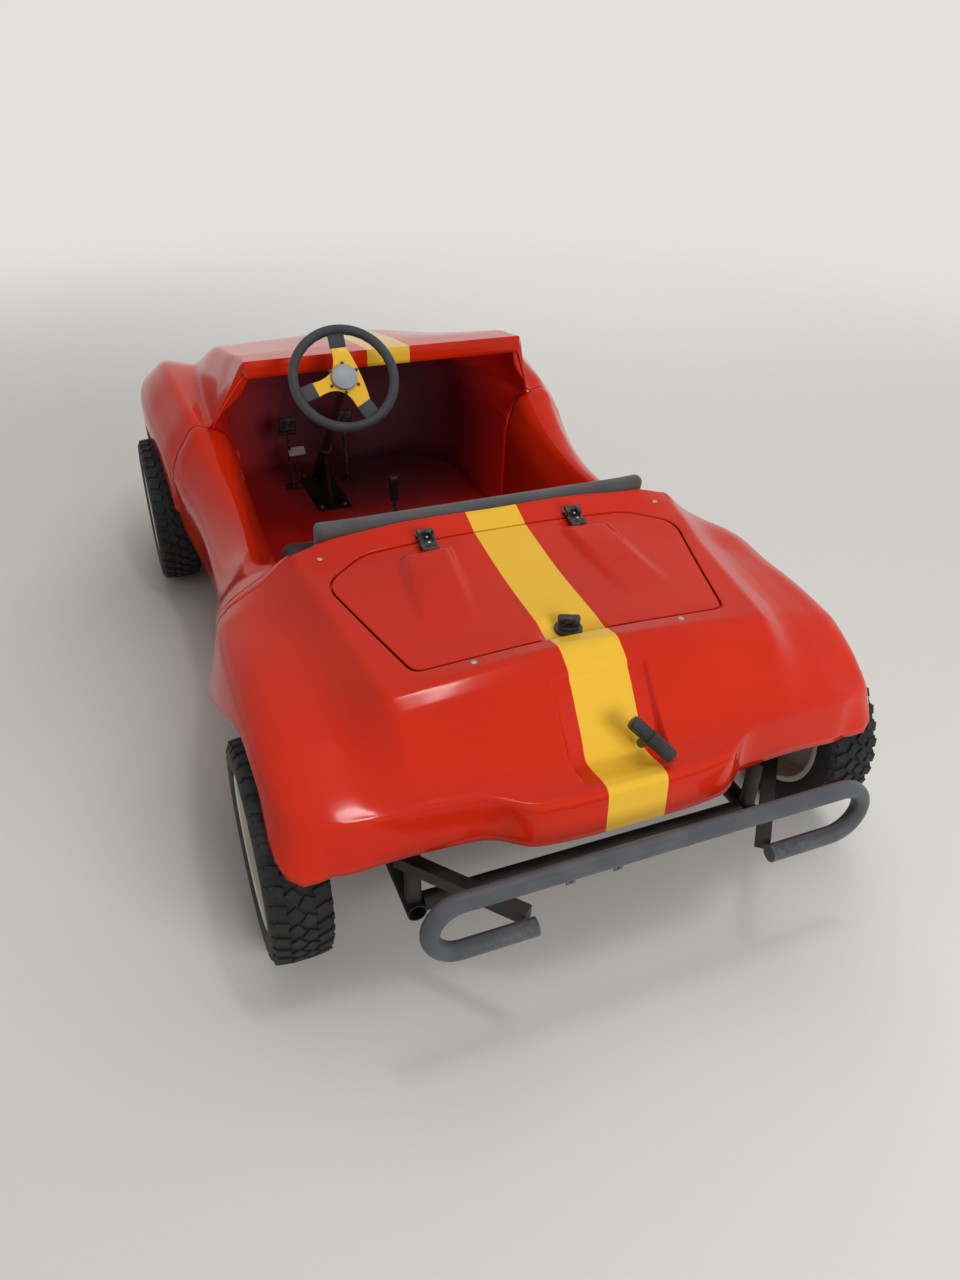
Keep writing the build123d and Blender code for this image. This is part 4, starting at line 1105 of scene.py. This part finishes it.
class BUGGY_OT_fittings(bpy.types.Operator):
    """Rivets for the lid hinges, knob, pull handle and the small bolts round the lid"""
    bl_idname = "buggy.fittings"
    bl_label = "Lid fittings"

    def execute(self, context):
        shape = bmesh.new()
        base = rear_top(0, 784) + lid_relief(6, 790)
        add_turned(shape, disc(27, 9, 2), at(4, 784, base - 1), 48)
        add_turned(shape, disc(20, 7, 1.5), at(4, 784, base + 7), 40)
        bar = at(4, 784, base + 22, (0.05, 0.1, 1), 4)
        add_block(shape, (42, 15, 20), bar, 4, 3)
        for step in range(9):
            add_block(shape, (2.2, 17, 15), bar @ shift(-18 + 4.5 * step, 0, -1), 0.8, 1)
        finish_piece("lid_knob_moulded", shape, "black_abs", "lid", ["lid_knob"])

        shape = bmesh.new()
        direction = Vector((-0.6, 0.5, -0.6)).normalized()
        middle = Vector((-45, 1032, 478))
        normal = Vector((0, 0.69, 0.72)).normalized()
        half_bar = [(14.8, 4), (14.6, 7), (12.4, 8), (12.4, 9.5), (13.7, 11), (13.7, 44), (12.6, 48), (9, 50),
                    (0, 50)]
        profile = [(radius, -height) for radius, height in reversed(half_bar)] + half_bar
        bar = add_turned(shape, profile, Matrix.Identity(4), 84)
        # Fourteen flutes along each half of the bar
        for corner in bar:
            if 0.0105 < abs(corner.co.z) < 0.046:
                turn = math.atan2(corner.co.y, corner.co.x)
                corner.co.xy *= 1 - 0.075 * (1 + math.cos(turn * 14)) / 2
        bmesh.ops.transform(shape, matrix=at(*middle, direction), verts=bar)
        stem = [(0, 0), (9, 0), (8, 30), (9.5, 44), (0, 47)]
        add_turned(shape, stem, at(*(middle - normal * 46), normal), 24)
        finish_piece("pull_handle_ribbed", shape, "black_abs", "root", ["pull_handle"])

        shape = bmesh.new()
        for x, y in ((213, 831), (-213, 831), (388, 425), (-388, 425)):
            screw = [(0, 0), (6.4, 0), (6, 1.6), (4, 2.8), (0, 3.2)]
            add_turned(shape, screw, at(x, y, rear_top(x, y) - 0.4), 20)
        finish_piece("deck_screws", shape, "zinc_steel", "root")

        shape = bmesh.new()
        rivet = [(0, 0), (3.4, 0), (3, 1.2), (1.5, 2), (0, 2.2)]
        for side in (1, -1):
            for y, z in ((452, 626.6), (468, 622.5)):
                add_turned(shape, rivet, at(side * 169, y, z, (0, 0.17, 1)), 14)
        finish_piece("hinge_rivets", shape, "zinc_steel", "lid")
        return {"FINISHED"}


class BUGGY_OT_bumpers(bpy.types.Operator):
    """Closed tube ends, weld beads and plugs on the bumpers"""
    bl_idname = "buggy.bumpers"
    bl_label = "Bumper ends"

    def execute(self, context):
        shape = bmesh.new()
        plug = [(15, -5), (16.2, -3), (16, 0.5), (14, 2.4), (8, 3.4), (0, 3.6)]
        for y in (1178, -1178):
            for side in (1, -1):
                add_turned(shape, plug, at(side * 234, y, 270, (-side, 0, 0)), 28)
        chance = random.Random(3)
        # Each point moves by up to half a millimetre each way, as in a hand-laid weld
        for corner in shape.verts:
            corner.co += Vector([chance.uniform(-1, 1) for _ in range(3)]) * 0.5 * MM
        finish_piece("bumper_end_welds", shape, "bumper_paint", "root", recalc=False)
        return {"FINISHED"}


FINISHES = {
    "red_gelcoat": ("rear_body", "engine_lid", "nose_body", "side_left", "side_right"),
    # The floor tub carries the same painted shade round the pedals
    "overspray_gelcoat": ("floor_tub",),
    "tub_gelcoat": ("bulkhead", "seat_base"),
    "seat_vinyl": ("seat_cushion", "backrest"),
    "chassis_paint": ("frame_rail_left", "frame_rail_right", "cross_tube_1", "cross_tube_2", "cross_tube_3",
                      "cross_tube_4", "front_axle_beam", "tie_rod_left", "tie_rod_right", "column_mount",
                      "steering_column", "rear_bumper_arms"),
    "bare_steel": ("rear_axle_shaft", "sprocket", "brake_disc"),
    "cast_aluminium": ("knuckle_left", "knuckle_right", "axle_bearings"),
    "engine_paint": ("engine_block",),
    "bumper_paint": ("rear_bumper", "front_bumper"),
    "black_abs": ("pull_handle", "lid_knob", "hand_lever", "pedals", "hinge_brackets", "lid_hinges"),
    "tyre_rubber": ("tyre_front_left", "tyre_front_right", "tyre_rear_left", "tyre_rear_right"),
    "wheel_enamel": ("rim_front_left", "rim_front_right", "rim_rear_left", "rim_rear_right"),
    "grip_rubber": ("steering_grip",),
    "yellow_enamel": ("steering_spokes",),
    "silver_cap": ("steering_hub",),
}


class BUGGY_OT_finishes(bpy.types.Operator):
    """Makes the materials and gives each CAD node that stays its own"""
    bl_idname = "buggy.finishes"
    bl_label = "Materials"

    def execute(self, context):
        make_materials(context.scene.buggy_paint)
        for material, names in FINISHES.items():
            for name in names:
                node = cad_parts[name]
                node.data.materials.clear()
                node.data.materials.append(MATERIALS[material])
        return {"FINISHED"}


# Pale grey of the backdrop and of the floor far away
BACKDROP = "#E2E1DE"
# Camera fitted to the floor tiles of the photograph: its place in metres, and its axes
CAMERA_PLACE = (0.744, 2.127, 1.5516)
CAMERA_RIGHT = (-0.928131, 0.371591, 0.022237)
CAMERA_UP = (-0.188778, -0.521317, 0.832221)
CAMERA_BACK = (0.320838, 0.768212, 0.553998)
LENS_MM = 27.14
SENSOR_MM = 36.0


class BUGGY_OT_stage(bpy.types.Operator):
    """Pale floor, soft lamps and the photograph's camera"""
    bl_idname = "buggy.stage"
    bl_label = "Stage"

    def execute(self, context):
        scene = context.scene
        scene.view_settings.view_transform = "Standard"
        floor_mesh = bpy.data.meshes.new("floor")
        ground = bmesh.new()
        bmesh.ops.create_grid(ground, x_segments=1, y_segments=1, size=40)
        ground.to_mesh(floor_mesh)
        ground.free()
        floor = bpy.data.objects.new("floor", floor_mesh)
        scene.collection.objects.link(floor)
        made = bpy.data.materials.new("pale_floor")
        made.use_nodes = True
        tree = made.node_tree
        tree.nodes.clear()
        place = add_node(tree, "ShaderNodeTexCoord").outputs["Object"]
        away = add_node(tree, "ShaderNodeVectorMath", {"operation": "LENGTH"}, {0: place}).outputs["Value"]
        far = ranged(tree, away, 1.6, 6.0, kind="SMOOTHSTEP")
        near = add_node(tree, "ShaderNodeBsdfDiffuse", inputs={"Color": srgb("#DAD8D4")}).outputs[0]
        pale = add_node(tree, "ShaderNodeEmission", inputs={
            "Color": srgb(BACKDROP), "Strength": 1.0}).outputs[0]
        both = add_node(tree, "ShaderNodeMixShader", inputs={0: far, 1: near, 2: pale}).outputs[0]
        add_node(tree, "ShaderNodeOutputMaterial", inputs={"Surface": both})
        floor_mesh.materials.append(made)

        world = bpy.data.worlds.new("studio")
        scene.world = world
        world.use_nodes = True
        tree = world.node_tree
        tree.nodes.clear()
        path = add_node(tree, "ShaderNodeLightPath")
        seen = maths(tree, "MAXIMUM", path.outputs["Is Camera Ray"], path.outputs["Is Transmission Ray"])
        seen = maths(tree, "MAXIMUM", seen, path.outputs["Is Glossy Ray"])
        back = add_node(tree, "ShaderNodeBackground", inputs={
            "Color": srgb(BACKDROP), "Strength": ranged(tree, seen, 0.0, 1.0, 0.35, 1.0)})
        add_node(tree, "ShaderNodeOutputWorld", inputs={"Surface": back.outputs[0]})

        # The large lamps only shade; the overhead one is also what the gloss mirrors
        for name, place, aim, wide, deep, power, mirrored in (
            ("key", (-1.2, 5.6, 2.2), (0, 0.3, 0.4), 3.0, 2.2, 200, False),
            ("overhead", (-0.1, 1.15, 3.6), (0.1, 0.7, 0.5), 0.18, 0.5, 11, True),
            ("sky", (-1.2, -0.2, 4.8), (0, 0, 0), 4.5, 4.5, 90, False),
            ("front", (-2.6, -4.2, 2.8), (0, -0.4, 0.4), 3.0, 2.4, 60, False),
            ("left", (4.6, 0.4, 2.2), (0, 0, 0.4), 2.6, 2.0, 14, False),
        ):
            lamp = bpy.data.lights.new(name, "AREA")
            lamp.shape = "RECTANGLE"
            lamp.size = wide
            lamp.size_y = deep
            lamp.energy = power
            holder = bpy.data.objects.new(name, lamp)
            scene.collection.objects.link(holder)
            holder.location = place
            holder.rotation_euler = (Vector(aim) - Vector(place)).to_track_quat("-Z", "Y").to_euler()
            holder.visible_glossy = mirrored

        camera = bpy.data.cameras.new("camera")
        camera.lens = LENS_MM
        camera.sensor_width = SENSOR_MM
        viewer = bpy.data.objects.new("camera", camera)
        scene.collection.objects.link(viewer)
        turn = Matrix((CAMERA_RIGHT, CAMERA_UP, CAMERA_BACK)).transposed().to_4x4()
        viewer.matrix_world = Matrix.Translation(CAMERA_PLACE) @ turn
        scene.camera = viewer
        return {"FINISHED"}


class BuggyPaint(bpy.types.PropertyGroup):
    red: FloatVectorProperty(name="Body red", description="Gelcoat colour of the body", subtype="COLOR",
                             size=3, min=0, max=1, default=srgb("#C8290D")[:3])
    yellow: FloatVectorProperty(name="Stripe yellow", description="Colour of the stripe and steering plate",
                                subtype="COLOR", size=3, min=0, max=1, default=srgb("#DDAE33")[:3])
    stripe_width: FloatProperty(name="Stripe width", description="Width of the stripe along the body",
                                default=0.118, unit="LENGTH")


class BuggySizes(bpy.types.PropertyGroup):
    tread_blocks: IntProperty(name="Tread blocks", description="Blocks round each tyre in one row",
                              default=36, min=12, max=60)


class BUGGY_PT_pieces(bpy.types.Panel):
    bl_label = "Dune buggy"
    bl_idname = "BUGGY_PT_pieces"
    bl_space_type = "VIEW_3D"
    bl_region_type = "UI"
    bl_category = "Buggy"

    def draw(self, context):
        for group in (context.scene.buggy_paint, context.scene.buggy_sizes):
            for key in group.bl_rna.properties.keys():
                if key not in ("rna_type", "name"):
                    self.layout.prop(group, key)
        for operator in OPERATORS:
            self.layout.operator(operator.bl_idname)


OPERATORS = (BUGGY_OT_stage, BUGGY_OT_finishes, BUGGY_OT_rear_body, BUGGY_OT_nose, BUGGY_OT_cockpit_sides,
             BUGGY_OT_liner, BUGGY_OT_seat, BUGGY_OT_wheels, BUGGY_OT_steering_wheel, BUGGY_OT_controls,
             BUGGY_OT_fittings, BUGGY_OT_bumpers)
CLASSES = (BuggyPaint, BuggySizes, *OPERATORS, BUGGY_PT_pieces)


def register():
    for each in CLASSES:
        bpy.utils.register_class(each)
    bpy.types.Scene.buggy_paint = PointerProperty(type=BuggyPaint)
    bpy.types.Scene.buggy_sizes = PointerProperty(type=BuggySizes)


def unregister():
    del bpy.types.Scene.buggy_paint
    del bpy.types.Scene.buggy_sizes
    for each in reversed(CLASSES):
        bpy.utils.unregister_class(each)


def main():
    register()
    for operator in OPERATORS:
        getattr(bpy.ops.buggy, operator.bl_idname.split(".")[1])()
    bpy.context.view_layer.update()


if __name__ == "__main__":
    main()
